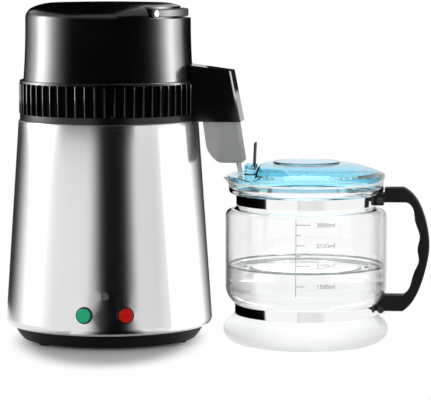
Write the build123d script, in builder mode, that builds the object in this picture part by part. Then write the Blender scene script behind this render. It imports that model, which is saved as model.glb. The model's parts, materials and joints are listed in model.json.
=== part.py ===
import math
import os

from build123d import *

os.makedirs("parts", exist_ok=True)

# Driving dimensions in millimetres. Radii are from the axis of the piece's own group.
CUT_OVERRUN = 5.0
FACE_GAP = 0.3
RUNNING_GAP = 0.06
SEAT_GAP = 0.1
WIRE_GAP_LIMIT = 0.4

# Distiller body: base, shell and boiling chamber
SHELL_BOTTOM_RADIUS = 111.5
SHELL_TOP_RADIUS = 97.0
SHELL_WALL = 1.0
SHELL_TOP = 238.0
SHELL_ROLL_START = 25.0
SHELL_SEAT = 17.0
SHELL_ROLL_WIDTH = 8.5
SHELL_SEAT_RADIUS = SHELL_BOTTOM_RADIUS - SHELL_ROLL_WIDTH
SHELL_LIP_WIDTH = 3.6

BASE_UNDERSIDE = 3.0
BASE_STEP = 0.4
BASE_TOP_RADIUS = SHELL_SEAT_RADIUS - BASE_STEP
BASE_BULGE_INSET = 3.4
BASE_BULGE_RADIUS = BASE_TOP_RADIUS - BASE_BULGE_INSET
BASE_BULGE_HEIGHT = 9.6
BASE_UNDERSIDE_INSET = 8.6
BASE_UNDERSIDE_RADIUS = BASE_TOP_RADIUS - BASE_UNDERSIDE_INSET
BASE_WALL = 2.5
SPIGOT_HEIGHT = 7.0
BASE_VENTS = 12
BASE_VENT_LENGTH = 22.0
BASE_VENT_WIDTH = 4.0
BASE_VENT_CIRCLE = 28.0

FOOT_RADIUS = 7.5
FOOT_HEIGHT = 4.5
FOOT_INSET = 11.3
FOOT_CIRCLE = BASE_UNDERSIDE_RADIUS - FOOT_INSET
FOOT_CHAMFER = 0.8
FEET = 3
FEET_TURN = -52.0

CHAMBER_RADIUS = 89.0
CHAMBER_WALL = 1.0
CHAMBER_BOTTOM = 74.0
CHAMBER_CORNER = 12.0
CHAMBER_FLANGE_RADIUS = 96.4

HEATER_RADIUS = 70.0
HEATER_THICKNESS = 5.0
ELEMENT_RING_RADIUS = 44.0
ELEMENT_TUBE_RADIUS = 4.0
ELEMENT_ARC = 330.0
ELEMENT_PIN_RADIUS = 1.5
ELEMENT_PIN_LENGTH = 10.0
THERMOSTAT_RADIUS = 8.0
THERMOSTAT_HEIGHT = 9.0
THERMOSTAT_FLANGE = 11.0
THERMOSTAT_FLANGE_THICKNESS = 1.2
TERMINAL_WIDTH = 6.3
TERMINAL_THICKNESS = 0.8
TERMINAL_LENGTH = 8.0
FUSE_CIRCLE = 24.0
FUSE_RADIUS = 2.5
FUSE_LENGTH = 12.0
FUSE_LEAD_RADIUS = 0.6
FUSE_LEAD_LENGTH = 7.0
FUSE_CLIP_THICKNESS = 0.8
FUSE_CLIP_WIDTH = 6.0
STUDS = 3
STUD_RADIUS = 2.5
STUD_CIRCLE = 60.0
STUD_TURN = 8.0
STUD_BOSS_RADIUS = 8.0
STUD_BOSS_TOP = 12.0
STUD_BOSS_WEB = 2.5
NUT_ACROSS = 8.0
NUT_HEIGHT = 3.5
NUT_POCKET_RADIUS = 5.5

# Front controls, standing square to the tapered steel
BUTTON_HEIGHT = 40.0
BUTTON_SPREAD = 21.5
BUTTON_RADIUS = 7.4
BUTTON_PROUD = 4.6
BUTTON_CROWN = 1.0
BUTTON_SKIRT = 4.0
BUTTON_SKIRT_WALL = 1.6
BUTTON_STEM_RADIUS = 2.5
BUTTON_STEM_END = 15.0
BUTTON_TRAVEL = 1.8
BEZEL_RADIUS = 9.0
BEZEL_PROUD = 1.6
BEZEL_BARREL_RADIUS = 8.2
BEZEL_DEPTH = 14.0
BEZEL_NUT_RADIUS = 11.0
BEZEL_NUT_START = 1.75
BEZEL_NUT_THICKNESS = 3.0
SWITCH_WIDTH = 13.0
SWITCH_DEPTH = 12.0
SWITCH_BORE_SPARE = 2.2
SWITCH_BORE_DEPTH = BUTTON_TRAVEL + SWITCH_BORE_SPARE
INDICATOR_HEIGHT = 60.0
INDICATOR_RADIUS = 4.1
INDICATOR_PROUD = 1.2
INDICATOR_STEM_RADIUS = 2.9
INDICATOR_STEM = 8.0
HOLDER_RADIUS = 4.8
HOLDER_START = 1.2
HOLDER_LENGTH = 9.0

# Rear sockets
INLET_HEIGHT = 50.0
INLET_WIDTH = 27.0
INLET_TALL = 20.0
INLET_FLANGE_WIDTH = 31.0
INLET_FLANGE_TALL = 24.0
INLET_FLANGE_THICKNESS = 3.0
INLET_DEPTH = 20.0
INLET_OPENING_WIDTH = 24.0
INLET_OPENING_TALL = 16.5
INLET_OPENING_DEPTH = 17.0
INLET_CORNER = 4.0
PIN_WIDTH = 2.0
PIN_TALL = 4.0
PIN_LENGTH = 12.0
PIN_PITCH = 7.0
PIN_RISE = 2.0
OUTLET_TURN = 38.0
OUTLET_WIDTH = 19.0
OUTLET_TALL = 12.0
OUTLET_FLANGE_WIDTH = 23.0
OUTLET_FLANGE_TALL = 16.0
OUTLET_OPENING_WIDTH = 15.0
OUTLET_OPENING_TALL = 8.0
OUTLET_OPENING_DEPTH = 9.0
OUTLET_DEPTH = 16.0
OUTLET_PIN_RADIUS = 1.2
OUTLET_PIN_PITCH = 7.0
OUTLET_PIN_LENGTH = 7.0

# Head
GASKET_THICKNESS = 1.5
LID_PLATE_THICKNESS = 1.0
LID_PLATE_RADIUS = 92.0
LID_PAN_RADIUS = 86.0
LID_PAN_DEPTH = 6.0
STEAM_HOLE_RADIUS = 3.2
VENT_OUTER_RADIUS = 95.5
VENT_BAND_WALL = 2.6
VENT_BAND_TALL = 7.0
VENT_BAND_TOP = SHELL_TOP + VENT_BAND_TALL
VENT_RIB_TALL = 36.0
VENT_TOP = VENT_BAND_TOP + VENT_RIB_TALL
VENT_TOP_FLANGE = 3.0
VENT_TOP_INNER_RADIUS = 85.0
VENT_RIBS = 58
RIB_WIDTH = 1.8
RIB_DEPTH = 4.6
RIB_TURN = 3.1

COVER_BOTTOM_RADIUS = 91.5
COVER_MID_RADIUS = 89.9
COVER_MID_RISE = 25.0
COVER_MID_HEIGHT = VENT_TOP + COVER_MID_RISE
COVER_SIDE_RADIUS = 89.0
COVER_SIDE_RISE = 41.0
COVER_SIDE_TOP = COVER_MID_HEIGHT + COVER_SIDE_RISE
COVER_CORNER_RADIUS = 81.4
COVER_CORNER_RISE = 11.7
COVER_CORNER_HEIGHT = COVER_SIDE_TOP + COVER_CORNER_RISE
COVER_SHOULDER_RADIUS = 58.0
COVER_SHOULDER_RISE = 5.1
COVER_SHOULDER_HEIGHT = COVER_CORNER_HEIGHT + COVER_SHOULDER_RISE
COVER_CROWN_RISE = 0.8
COVER_TOP = COVER_SHOULDER_HEIGHT + COVER_CROWN_RISE
COVER_WALL = 2.5
COVER_SPIGOT = 6.0
COVER_SPIGOT_RADIUS = 84.7
COVER_SPIGOT_WALL = 2.2

BAIL_PIVOT_TURN = 38.0
BAIL_INNER_RADIUS = 80.6
BAIL_OUTER_RADIUS = 86.4
BAIL_RISE = 2.0
BAIL_BOTTOM = COVER_SIDE_TOP + BAIL_RISE
BAIL_TALL = 8.6
BAIL_EYE_RADIUS = 5.2
BAIL_EDGE_FILLET = 1.6
BAIL_PIN_RADIUS = 2.0
BAIL_PIN_HEAD_RADIUS = 3.2
BAIL_PIN_HEAD = 1.0
RECESS_INNER_RADIUS = 78.0
RECESS_FLOOR_GAP = 1.6
RECESS_FLOOR = BAIL_BOTTOM - RECESS_FLOOR_GAP
RECESS_MARGIN = 7.0

MOTOR_WIDTH = 56.0
MOTOR_TALL = 22.0
MOTOR_RISE = 31.0
MOTOR_BOTTOM = VENT_TOP + MOTOR_RISE
MOTOR_STACK_TALL = 12.0
MOTOR_CAN_RADIUS = 20.0
BRACKET_THICKNESS = 1.5
BRACKET_WIDTH = 22.0
BRACKET_LENGTH = 136.0
BOSS_RADIUS = 4.5
BOSS_SPREAD = 62.0
BOSS_PITCH = 12.0
SCREW_RADIUS = 1.8
SCREW_LENGTH = 10.0
SCREW_HEAD_RADIUS = 3.4
SCREW_HEAD = 2.4
ROTOR_TALL = 14.0
ROTOR_CLEARANCE = 8.5
ROTOR_BOTTOM = MOTOR_BOTTOM - ROTOR_CLEARANCE - ROTOR_TALL
ROTOR_HUB_RADIUS = 13.0
ROTOR_RADIUS = 58.0
ROTOR_BLADES = 7
BLADE_THICKNESS = 1.6
BLADE_PITCH = 28.0
BLADE_TWIST = 10.0
BLADE_ROOT_SHARE = 0.9
BLADE_TIP_SHARE = 2.0
SHAFT_RADIUS = 2.5

COIL_RADIUS = 62.0
COIL_TUBE_RADIUS = 4.0
COIL_PITCH = 10.0
COIL_TURNS = 3.0
COIL_RISE = 14.0
COIL_BOTTOM = SHELL_TOP + COIL_RISE
COIL_EXIT_TURN = 40.0
FINS = 17
FIN_STEP = 15.0
FIN_FIRST_TURN = 40.0
FIN_THICKNESS = 0.8
FIN_INNER_RADIUS = 50.0
FIN_OUTER_RADIUS = 74.0
FIN_RISE = 3.0
FIN_BOTTOM = SHELL_TOP + FIN_RISE
FIN_TALL = 41.0
FIN_TOP = FIN_BOTTOM + FIN_TALL
FIN_NOTCH_INNER_RADIUS = 57.6
OUTLET_END_REACH = 122.0
OUTLET_BEND = 9.0
STEAM_RUN = 14.0
STEAM_BEND = 9.0

HEAD_INLET_RISE = 19.0
HEAD_INLET_HEIGHT = VENT_TOP + HEAD_INLET_RISE
HEAD_INLET_TURN = 30.0

# Spout side: reaches are from the body's axis, along the line to the carafe
SPOUT_TURN = 7.0
SPOUT_WIDTH = 42.0
SPOUT_DROP = 0.6
SPOUT_BOTTOM = SHELL_TOP - SPOUT_DROP
SPOUT_OUTER_TALL = 54.1
SPOUT_TOP_OUTER = SPOUT_BOTTOM + SPOUT_OUTER_TALL
SPOUT_ROOF_FALL = 6.5
SPOUT_TOP_INNER = SPOUT_TOP_OUTER + SPOUT_ROOF_FALL
SPOUT_BOTTOM_REACH = 145.4
SPOUT_NOSE_LEAN = 10.5
SPOUT_TOP_REACH = SPOUT_BOTTOM_REACH - SPOUT_NOSE_LEAN
SPOUT_WALL = 2.4
SPOUT_FILLET = 2.5
SPOUT_INNER_REACH = 88.0
SOCKET_TALL = 8.0

BASKET_WIDTH = 36.0
BASKET_TALL = 43.9
BASKET_BOTTOM = SPOUT_BOTTOM - BASKET_TALL
BASKET_FRONT_INSET = 4.6
BASKET_FRONT_REACH = SPOUT_BOTTOM_REACH - BASKET_FRONT_INSET
BASKET_LENGTH = 36.0
BASKET_BACK_REACH = BASKET_FRONT_REACH - BASKET_LENGTH
BASKET_NOSE_LEAN = 6.8
BASKET_NOSE_REACH = BASKET_FRONT_REACH + BASKET_NOSE_LEAN
BASKET_NOSE_RISE = 1.7
BASKET_NOSE_HEIGHT = BASKET_BOTTOM + BASKET_NOSE_RISE
BASKET_FLOOR_LENGTH = 21.7
BASKET_BOTTOM_REACH = BASKET_NOSE_REACH - BASKET_FLOOR_LENGTH
BASKET_SHOULDER_REACH_SHARE = 0.147
BASKET_SHOULDER_TALL_SHARE = 0.494
BASKET_CURVE_REACH_SHARE = 0.398
BASKET_CURVE_TALL_SHARE = 0.189
BASKET_WALL = 2.0
BASKET_FLOOR = 2.5
BASKET_NECK_TALL = 7.5
BASKET_NECK_INSET = 2.8
BASKET_NECK_BACK = BASKET_BACK_REACH + BASKET_NECK_INSET
BASKET_NECK_FRONT = BASKET_FRONT_REACH - BASKET_NECK_INSET
BASKET_NECK_WIDTH = 30.0
SACHET_INSET = 0.8
SACHET_DROP = 3.4
SACHET_TOP = SPOUT_BOTTOM - SACHET_DROP
SACHET_EDGE = 3.0
NOZZLE_RADIUS = 2.5
NOZZLE_BORE = 1.5
NOZZLE_TILT = 13.0
NOZZLE_INSET = 4.0
NOZZLE_TIP_REACH = BASKET_NOSE_REACH - NOZZLE_INSET
NOZZLE_HANG = 11.9
NOZZLE_TIP_HEIGHT = BASKET_BOTTOM - NOZZLE_HANG
NOZZLE_SOCKET = 1.9

# Carafe: radii are from the carafe's own axis
CARAFE_REACH = 214.3
GLASS_WALL = 2.4
GLASS_FLOOR = 3.0
GLASS_BASE_RADIUS = 72.0
BULGE_RADIUS = 88.7
BULGE_HEIGHT = 14.0
BULGE_TOP_INSET = 4.8
BULGE_TOP_RADIUS = BULGE_RADIUS - BULGE_TOP_INSET
BULGE_TOP_RISE = 11.0
BULGE_TOP_HEIGHT = BULGE_HEIGHT + BULGE_TOP_RISE
LOWER_NECK_RADIUS = 75.5
LOWER_NECK_RISE = 6.5
LOWER_BAND_BOTTOM = BULGE_TOP_HEIGHT + LOWER_NECK_RISE
BAND_TALL = 10.5
GLASS_BODY_RADIUS = 86.4
GLASS_FLARE_TALL = 20.0
GLASS_BODY_BOTTOM = LOWER_BAND_BOTTOM + BAND_TALL + GLASS_FLARE_TALL
GLASS_BODY_TALL = 74.5
GLASS_BODY_TOP = GLASS_BODY_BOTTOM + GLASS_BODY_TALL
SHOULDER_RADIUS = 7.5
UPPER_NECK_RADIUS = 74.2
UPPER_NECK_RISE = 12.5
UPPER_BAND_BOTTOM = GLASS_BODY_TOP + UPPER_NECK_RISE
COLLAR_RADIUS = 83.0
COLLAR_CURVE = 4.5
COLLAR_STEP = 0.7
COLLAR_RISE = 5.5
COLLAR_BOTTOM = UPPER_BAND_BOTTOM + BAND_TALL + COLLAR_RISE
COLLAR_TALL = 12.0
GLASS_TOP = COLLAR_BOTTOM + COLLAR_TALL
LIP_LENGTH = 6.5
LIP_REACH = COLLAR_RADIUS + LIP_LENGTH
LIP_RADIUS = 15.0
LIP_TALL = 16.0
LIP_BOTTOM = GLASS_TOP - LIP_TALL
LIP_BOTTOM_RADIUS = 2.6
BAND_THICKNESS = 0.8
EAR_LENGTH = 9.0
EAR_GAP = 2.0
HANDLE_WIDTH = 22.0
HANDLE_FILLET = 3.0
HANDLE_COLLAR_GAP = 1.4
HANDLE_TOP_RISE = 8.4
HANDLE_TOP = UPPER_BAND_BOTTOM + BAND_TALL + HANDLE_TOP_RISE
HANDLE_BOTTOM_RISE = 3.9
HANDLE_BOTTOM = LOWER_BAND_BOTTOM + HANDLE_BOTTOM_RISE
HANDLE_REACH = 131.8
HANDLE_UPPER_THICKNESS = 15.7
HANDLE_UPPER_ARM = HANDLE_TOP - HANDLE_UPPER_THICKNESS
HANDLE_LOWER_THICKNESS = 17.1
HANDLE_LOWER_ARM = HANDLE_BOTTOM + HANDLE_LOWER_THICKNESS
HANDLE_UPPER_START = COLLAR_RADIUS + HANDLE_COLLAR_GAP
HANDLE_FOOT_RISE = 2.0
HANDLE_FOOT_TOP = UPPER_BAND_BOTTOM + BAND_TALL + HANDLE_FOOT_RISE
HANDLE_FOOT_BOTTOM = UPPER_BAND_BOTTOM
HANDLE_FOOT_LENGTH = 8.8
HANDLE_FOOT_REACH = UPPER_NECK_RADIUS + HANDLE_FOOT_LENGTH
HANDLE_LOWER_LENGTH = 9.0
HANDLE_LOWER_START = LOWER_NECK_RADIUS + HANDLE_LOWER_LENGTH
HANDLE_SLOT_GAP = 0.4
BAND_SCREW_RADIUS = 2.0
BAND_SCREW_HEAD_RADIUS = 3.6
BAND_SCREW_HEAD = 2.2
BAND_SCREW_SINK = 0.55
BAND_SCREW_WEB = 3.6
BAND_SCREW_LENGTH = 16.0

LID_RIM_RADIUS = 84.5
LID_RIM_TALL = 4.0
LID_RIM_TOP = GLASS_TOP + FACE_GAP + LID_RIM_TALL
LID_WALL = 2.2
LID_FLOOR_TALL = 2.7
LID_FLOOR_TOP = GLASS_TOP + FACE_GAP + LID_FLOOR_TALL
LID_DOME_RISE = 11.9
LID_DOME_HEIGHT = LID_RIM_TOP + LID_DOME_RISE
LID_DOME_BULGE = 3.1
LID_KNOB_RADIUS = 36.0
LID_KNOB_TALL = 1.6
LID_KNOB_TOP = LID_DOME_HEIGHT + LID_KNOB_TALL
LID_KNOB_FILLET = 0.6
LID_CHORD_REACH = 48.5
LID_SKIRT_RADIUS = 79.0
LID_SKIRT_TALL = 9.0
LID_SKIRT_BOTTOM = GLASS_TOP - LID_SKIRT_TALL
LID_SKIRT_WALL = 2.0
LID_HOLE_REACH = 71.4
LID_HOLE_RADIUS = 5.5
STRAINER_SLOTS = 5
STRAINER_STEP = 4.4
STRAINER_SLOT_WIDTH = 3.2
STRAINER_SLOT_TALL = 6.0
SEAL_DROP = 4.0
SEAL_HEIGHT = GLASS_TOP - SEAL_DROP
SEAL_GROOVE_DEPTH = 1.0
BRACKET_INNER_REACH = 53.5
BRACKET_OUTER_REACH = 65.5
BRACKET_SPAN = 26.0
BRACKET_TALL = 10.8
BRACKET_TOP = LID_FLOOR_TOP + BRACKET_TALL
BRACKET_CORNER = 2.0
BRACKET_PEG_RADIUS = 1.5
BRACKET_PEG_LENGTH = 1.8
BRACKET_PEG_PITCH = 16.0
FLAP_LENGTH = 26.0
FLAP_WIDTH = 18.0
FLAP_THICKNESS = 1.4
FLAP_PIVOT_INSET = 2.5
FLAP_PIVOT_REACH = BRACKET_INNER_REACH + FLAP_PIVOT_INSET
FLAP_PIVOT_HEIGHT = BRACKET_TOP - FLAP_PIVOT_INSET
FLAP_KNUCKLE_RADIUS = 2.4
FLAP_PIN_RADIUS = 1.2
FLAP_LEAN = 2.5

# Where the groups stand. The origin is under the middle of the whole object.
spout_cos = math.cos(math.radians(SPOUT_TURN))
spout_sin = math.sin(math.radians(SPOUT_TURN))
reach_left = SHELL_BOTTOM_RADIUS
reach_right = (CARAFE_REACH + HANDLE_REACH) * spout_cos + HANDLE_WIDTH / 2 * spout_sin
reach_front = CARAFE_REACH * spout_sin + BULGE_RADIUS
reach_back = SHELL_BOTTOM_RADIUS + INLET_FLANGE_THICKNESS
BODY_X = (reach_left - reach_right) / 2
BODY_Y = (reach_front - reach_back) / 2
CARAFE_X = BODY_X + CARAFE_REACH * spout_cos
CARAFE_Y = BODY_Y - CARAFE_REACH * spout_sin

body_top = Plane((BODY_X, BODY_Y, 0))
body_axis = Axis((BODY_X, BODY_Y, 0), (0, 0, 1))
body_side = Plane((BODY_X, BODY_Y, 0), x_dir=(1, 0, 0), z_dir=(0, -1, 0))
spout_dir = Vector(spout_cos, -spout_sin, 0)
spout_top = Plane((BODY_X, BODY_Y, 0), x_dir=spout_dir, z_dir=(0, 0, 1))
spout_side = Plane((BODY_X, BODY_Y, 0), x_dir=spout_dir, z_dir=(-spout_sin, -spout_cos, 0))
carafe_top = Plane((CARAFE_X, CARAFE_Y, 0), x_dir=spout_dir, z_dir=(0, 0, 1))
carafe_axis = Axis((CARAFE_X, CARAFE_Y, 0), (0, 0, 1))
carafe_side = Plane((CARAFE_X, CARAFE_Y, 0), x_dir=spout_dir, z_dir=(-spout_sin, -spout_cos, 0))


# An upright plane through the body's axis, turned from the front towards the right
def body_side_at(turn):
    angle = math.radians(turn)
    outward = Vector(math.sin(angle), -math.cos(angle), 0)
    return Plane((BODY_X, BODY_Y, 0), x_dir=outward, z_dir=outward.cross(Vector(0, 0, 1)))


# The radius of the shell's outside at a height
def shell_radius(height):
    share = (height - SHELL_ROLL_START) / (SHELL_TOP - SHELL_ROLL_START)
    return SHELL_BOTTOM_RADIUS + share * (SHELL_TOP_RADIUS - SHELL_BOTTOM_RADIUS)


# A plane lying on the shell's outside, facing out, with its Y axis up the steel
def shell_plane(turn, height):
    angle = math.radians(turn)
    outward = Vector(math.sin(angle), -math.cos(angle), 0)
    across = Vector(math.cos(angle), math.sin(angle), 0)
    fall = SHELL_BOTTOM_RADIUS - SHELL_TOP_RADIUS
    rise = SHELL_TOP - SHELL_ROLL_START
    normal = (outward * rise + Vector(0, 0, 1) * fall).normalized()
    place = Vector(BODY_X, BODY_Y, height) + outward * shell_radius(height)
    return Plane(place, x_dir=across, z_dir=normal)


button_turn = math.degrees(math.asin(BUTTON_SPREAD / shell_radius(BUTTON_HEIGHT)))
green_plane = shell_plane(-button_turn, BUTTON_HEIGHT)
red_plane = shell_plane(button_turn, BUTTON_HEIGHT)
indicator_plane = shell_plane(0, INDICATOR_HEIGHT)
inlet_plane = shell_plane(180, INLET_HEIGHT)
outlet_plane = shell_plane(180 - OUTLET_TURN, INLET_HEIGHT)
bezel_hole_radius = BEZEL_BARREL_RADIUS + SEAT_GAP

# Base tray: a dish with a spigot inside the shell, foot recesses, stud bosses and vents
spigot_radius = SHELL_SEAT_RADIUS - SHELL_LIP_WIDTH - SEAT_GAP
spigot_top = SHELL_SEAT + SPIGOT_HEIGHT
foot_recess_top = FOOT_HEIGHT
base_floor_top = BASE_UNDERSIDE + BASE_WALL
with BuildPart() as base_tray:
    with BuildSketch(body_side):
        with BuildLine():
            Line((0, BASE_UNDERSIDE), (BASE_UNDERSIDE_RADIUS, BASE_UNDERSIDE))
            ThreePointArc(
                (BASE_UNDERSIDE_RADIUS, BASE_UNDERSIDE),
                (BASE_BULGE_RADIUS, BASE_BULGE_HEIGHT),
                (BASE_TOP_RADIUS, SHELL_SEAT),
            )
            Polyline(
                (BASE_TOP_RADIUS, SHELL_SEAT),
                (spigot_radius, SHELL_SEAT),
                (spigot_radius, spigot_top),
                (spigot_radius - BASE_WALL, spigot_top),
                (spigot_radius - BASE_WALL, SHELL_SEAT),
                (BASE_UNDERSIDE_RADIUS - BASE_WALL, base_floor_top + BASE_WALL),
                (BASE_UNDERSIDE_RADIUS - 2 * BASE_WALL, base_floor_top),
                (0, base_floor_top),
                (0, BASE_UNDERSIDE),
            )
        make_face()
    revolve(axis=body_axis)
    with BuildSketch(body_top.offset(base_floor_top)):
        with PolarLocations(FOOT_CIRCLE, FEET, start_angle=FEET_TURN - 90):
            Circle(FOOT_RADIUS + BASE_WALL)
    extrude(amount=BASE_WALL / 2)
    with BuildSketch(body_top.offset(base_floor_top)):
        with PolarLocations(STUD_CIRCLE, STUDS, start_angle=STUD_TURN - 90):
            Circle(STUD_BOSS_RADIUS)
    extrude(amount=STUD_BOSS_TOP - base_floor_top)
    with BuildSketch(body_top.offset(BASE_UNDERSIDE)):
        with PolarLocations(FOOT_CIRCLE, FEET, start_angle=FEET_TURN - 90):
            Circle(FOOT_RADIUS + SEAT_GAP)
    extrude(amount=foot_recess_top - BASE_UNDERSIDE, mode=Mode.SUBTRACT)
    with BuildSketch(body_top.offset(BASE_UNDERSIDE)):
        with PolarLocations(STUD_CIRCLE, STUDS, start_angle=STUD_TURN - 90):
            Circle(NUT_POCKET_RADIUS)
    extrude(amount=STUD_BOSS_TOP - STUD_BOSS_WEB - BASE_UNDERSIDE, mode=Mode.SUBTRACT)
    with BuildSketch(body_top.offset(BASE_UNDERSIDE)):
        with PolarLocations(STUD_CIRCLE, STUDS, start_angle=STUD_TURN - 90):
            Circle(STUD_RADIUS + SEAT_GAP)
        with PolarLocations(BASE_VENT_CIRCLE, BASE_VENTS):
            SlotOverall(BASE_VENT_LENGTH, BASE_VENT_WIDTH)
    extrude(amount=STUD_BOSS_TOP, mode=Mode.SUBTRACT)
base_tray.part.label = "base_tray"
export_step(base_tray.part, "parts/base_tray.step")

with BuildPart() as rubber_feet:
    with BuildSketch(body_top):
        with PolarLocations(FOOT_CIRCLE, FEET, start_angle=FEET_TURN - 90):
            Circle(FOOT_RADIUS)
    extrude(amount=FOOT_HEIGHT)
    chamfer(rubber_feet.edges().group_by(Axis.Z)[0], length=FOOT_CHAMFER)
rubber_feet.part.label = "rubber_feet"
export_step(rubber_feet.part, "parts/rubber_feet.step")

# Outer shell: one tapered sheet with a rolled lower edge and an inward rim at the top
shell_rim_radius = CHAMBER_RADIUS + SEAT_GAP
shell_rim_top = SHELL_TOP - SHELL_WALL
shell_hole_depth = BEZEL_DEPTH
with BuildPart() as outer_shell:
    with BuildSketch(body_side):
        with BuildLine():
            Line((shell_rim_radius, shell_rim_top), (SHELL_TOP_RADIUS, shell_rim_top))
            Line((SHELL_TOP_RADIUS, shell_rim_top), (SHELL_BOTTOM_RADIUS, SHELL_ROLL_START))
            ThreePointArc(
                (SHELL_BOTTOM_RADIUS, SHELL_ROLL_START),
                (
                    SHELL_BOTTOM_RADIUS - (SHELL_BOTTOM_RADIUS - SHELL_SEAT_RADIUS) / 4,
                    SHELL_SEAT + (SHELL_ROLL_START - SHELL_SEAT) / 4,
                ),
                (SHELL_SEAT_RADIUS, SHELL_SEAT),
            )
            Line(
                (SHELL_SEAT_RADIUS, SHELL_SEAT),
                (SHELL_SEAT_RADIUS - SHELL_LIP_WIDTH, SHELL_SEAT),
            )
            offset(amount=SHELL_WALL, side=Side.RIGHT)
        make_face()
    revolve(axis=body_axis)
    for plane in (green_plane, red_plane):
        with BuildSketch(plane):
            Circle(bezel_hole_radius)
        extrude(amount=shell_hole_depth, both=True, mode=Mode.SUBTRACT)
    with BuildSketch(indicator_plane):
        Circle(INDICATOR_STEM_RADIUS + SEAT_GAP)
    extrude(amount=shell_hole_depth, both=True, mode=Mode.SUBTRACT)
    with BuildSketch(inlet_plane):
        RectangleRounded(INLET_WIDTH + SEAT_GAP, INLET_TALL + SEAT_GAP, INLET_CORNER)
    extrude(amount=shell_hole_depth, both=True, mode=Mode.SUBTRACT)
    with BuildSketch(outlet_plane):
        RectangleRounded(OUTLET_WIDTH + SEAT_GAP, OUTLET_TALL + SEAT_GAP, INLET_CORNER)
    extrude(amount=shell_hole_depth, both=True, mode=Mode.SUBTRACT)
outer_shell.part.label = "outer_shell"
export_step(outer_shell.part, "parts/outer_shell.step")

# Boiling chamber: a deep pan whose flange lies on the shell's rim
chamber_inner = CHAMBER_RADIUS - CHAMBER_WALL
with BuildPart() as boiling_chamber:
    with BuildSketch(body_side):
        with BuildLine():
            Line((0, CHAMBER_BOTTOM), (CHAMBER_RADIUS - CHAMBER_CORNER, CHAMBER_BOTTOM))
            RadiusArc(
                (CHAMBER_RADIUS - CHAMBER_CORNER, CHAMBER_BOTTOM),
                (CHAMBER_RADIUS, CHAMBER_BOTTOM + CHAMBER_CORNER),
                -CHAMBER_CORNER,
            )
            Polyline(
                (CHAMBER_RADIUS, CHAMBER_BOTTOM + CHAMBER_CORNER),
                (CHAMBER_RADIUS, shell_rim_top),
                (CHAMBER_FLANGE_RADIUS, shell_rim_top),
                (CHAMBER_FLANGE_RADIUS, SHELL_TOP),
                (chamber_inner, SHELL_TOP),
                (chamber_inner, CHAMBER_BOTTOM + CHAMBER_CORNER),
            )
            RadiusArc(
                (chamber_inner, CHAMBER_BOTTOM + CHAMBER_CORNER),
                (CHAMBER_RADIUS - CHAMBER_CORNER, CHAMBER_BOTTOM + CHAMBER_WALL),
                CHAMBER_CORNER - CHAMBER_WALL,
            )
            Polyline(
                (CHAMBER_RADIUS - CHAMBER_CORNER, CHAMBER_BOTTOM + CHAMBER_WALL),
                (0, CHAMBER_BOTTOM + CHAMBER_WALL),
                (0, CHAMBER_BOTTOM),
            )
        make_face()
    revolve(axis=body_axis)
boiling_chamber.part.label = "boiling_chamber"
export_step(boiling_chamber.part, "parts/boiling_chamber.step")

# Heating parts, clamped under the chamber by three long studs
heater_bottom = CHAMBER_BOTTOM - HEATER_THICKNESS
with BuildPart() as heater_plate:
    with BuildSketch(body_top.offset(heater_bottom)):
        Circle(HEATER_RADIUS)
        with PolarLocations(STUD_CIRCLE, STUDS, start_angle=STUD_TURN - 90):
            Circle(STUD_RADIUS + SEAT_GAP, mode=Mode.SUBTRACT)
    extrude(amount=HEATER_THICKNESS)
heater_plate.part.label = "heater_plate"
export_step(heater_plate.part, "parts/heater_plate.step")

element_start = (360 - ELEMENT_ARC) / 2 - 90
with BuildPart() as heating_element:
    with BuildLine(body_top.offset(heater_bottom - ELEMENT_TUBE_RADIUS)) as element_path:
        CenterArc((0, 0), ELEMENT_RING_RADIUS, element_start, ELEMENT_ARC)
    with BuildSketch(element_path.line ^ 0):
        Circle(ELEMENT_TUBE_RADIUS)
    sweep(path=element_path.line)
    for end, direction in ((0, -1), (1, 1)):
        with BuildSketch(element_path.line ^ end):
            Circle(ELEMENT_PIN_RADIUS)
        extrude(amount=ELEMENT_PIN_LENGTH * direction)
heating_element.part.label = "heating_element"
export_step(heating_element.part, "parts/heating_element.step")

with BuildPart() as boil_dry_thermostat:
    with BuildSketch(body_top.offset(heater_bottom)):
        Circle(THERMOSTAT_FLANGE)
    extrude(amount=-THERMOSTAT_FLANGE_THICKNESS)
    with BuildSketch(body_top.offset(heater_bottom)):
        Circle(THERMOSTAT_RADIUS)
    extrude(amount=-THERMOSTAT_HEIGHT)
    with BuildSketch(body_top.offset(heater_bottom - THERMOSTAT_HEIGHT)):
        with GridLocations(THERMOSTAT_RADIUS, 0, 2, 1):
            Rectangle(TERMINAL_THICKNESS, TERMINAL_WIDTH)
    extrude(amount=-TERMINAL_LENGTH)
boil_dry_thermostat.part.label = "boil_dry_thermostat"
export_step(boil_dry_thermostat.part, "parts/boil_dry_thermostat.step")

fuse_plane = Plane(
    (BODY_X + FUSE_CIRCLE, BODY_Y, heater_bottom - FUSE_RADIUS),
    x_dir=(1, 0, 0),
    z_dir=(0, 1, 0),
)
with BuildPart() as thermal_fuse:
    with BuildSketch(fuse_plane):
        Circle(FUSE_RADIUS)
    extrude(amount=FUSE_LENGTH / 2, both=True)
    with BuildSketch(fuse_plane):
        Circle(FUSE_LEAD_RADIUS)
    extrude(amount=FUSE_LENGTH / 2 + FUSE_LEAD_LENGTH, both=True)
    with BuildSketch(fuse_plane):
        Circle(FUSE_RADIUS + FUSE_CLIP_THICKNESS)
        with Locations((0, -FUSE_RADIUS)):
            Rectangle(
                4 * FUSE_RADIUS,
                FUSE_CLIP_THICKNESS,
                align=(Align.CENTER, Align.MIN),
            )
        with Locations((0, -FUSE_RADIUS)):
            Rectangle(
                4 * FUSE_RADIUS,
                2 * FUSE_RADIUS,
                align=(Align.CENTER, Align.MAX),
                mode=Mode.SUBTRACT,
            )
    extrude(amount=FUSE_CLIP_WIDTH / 2, both=True)
thermal_fuse.part.label = "thermal_fuse"
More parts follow.
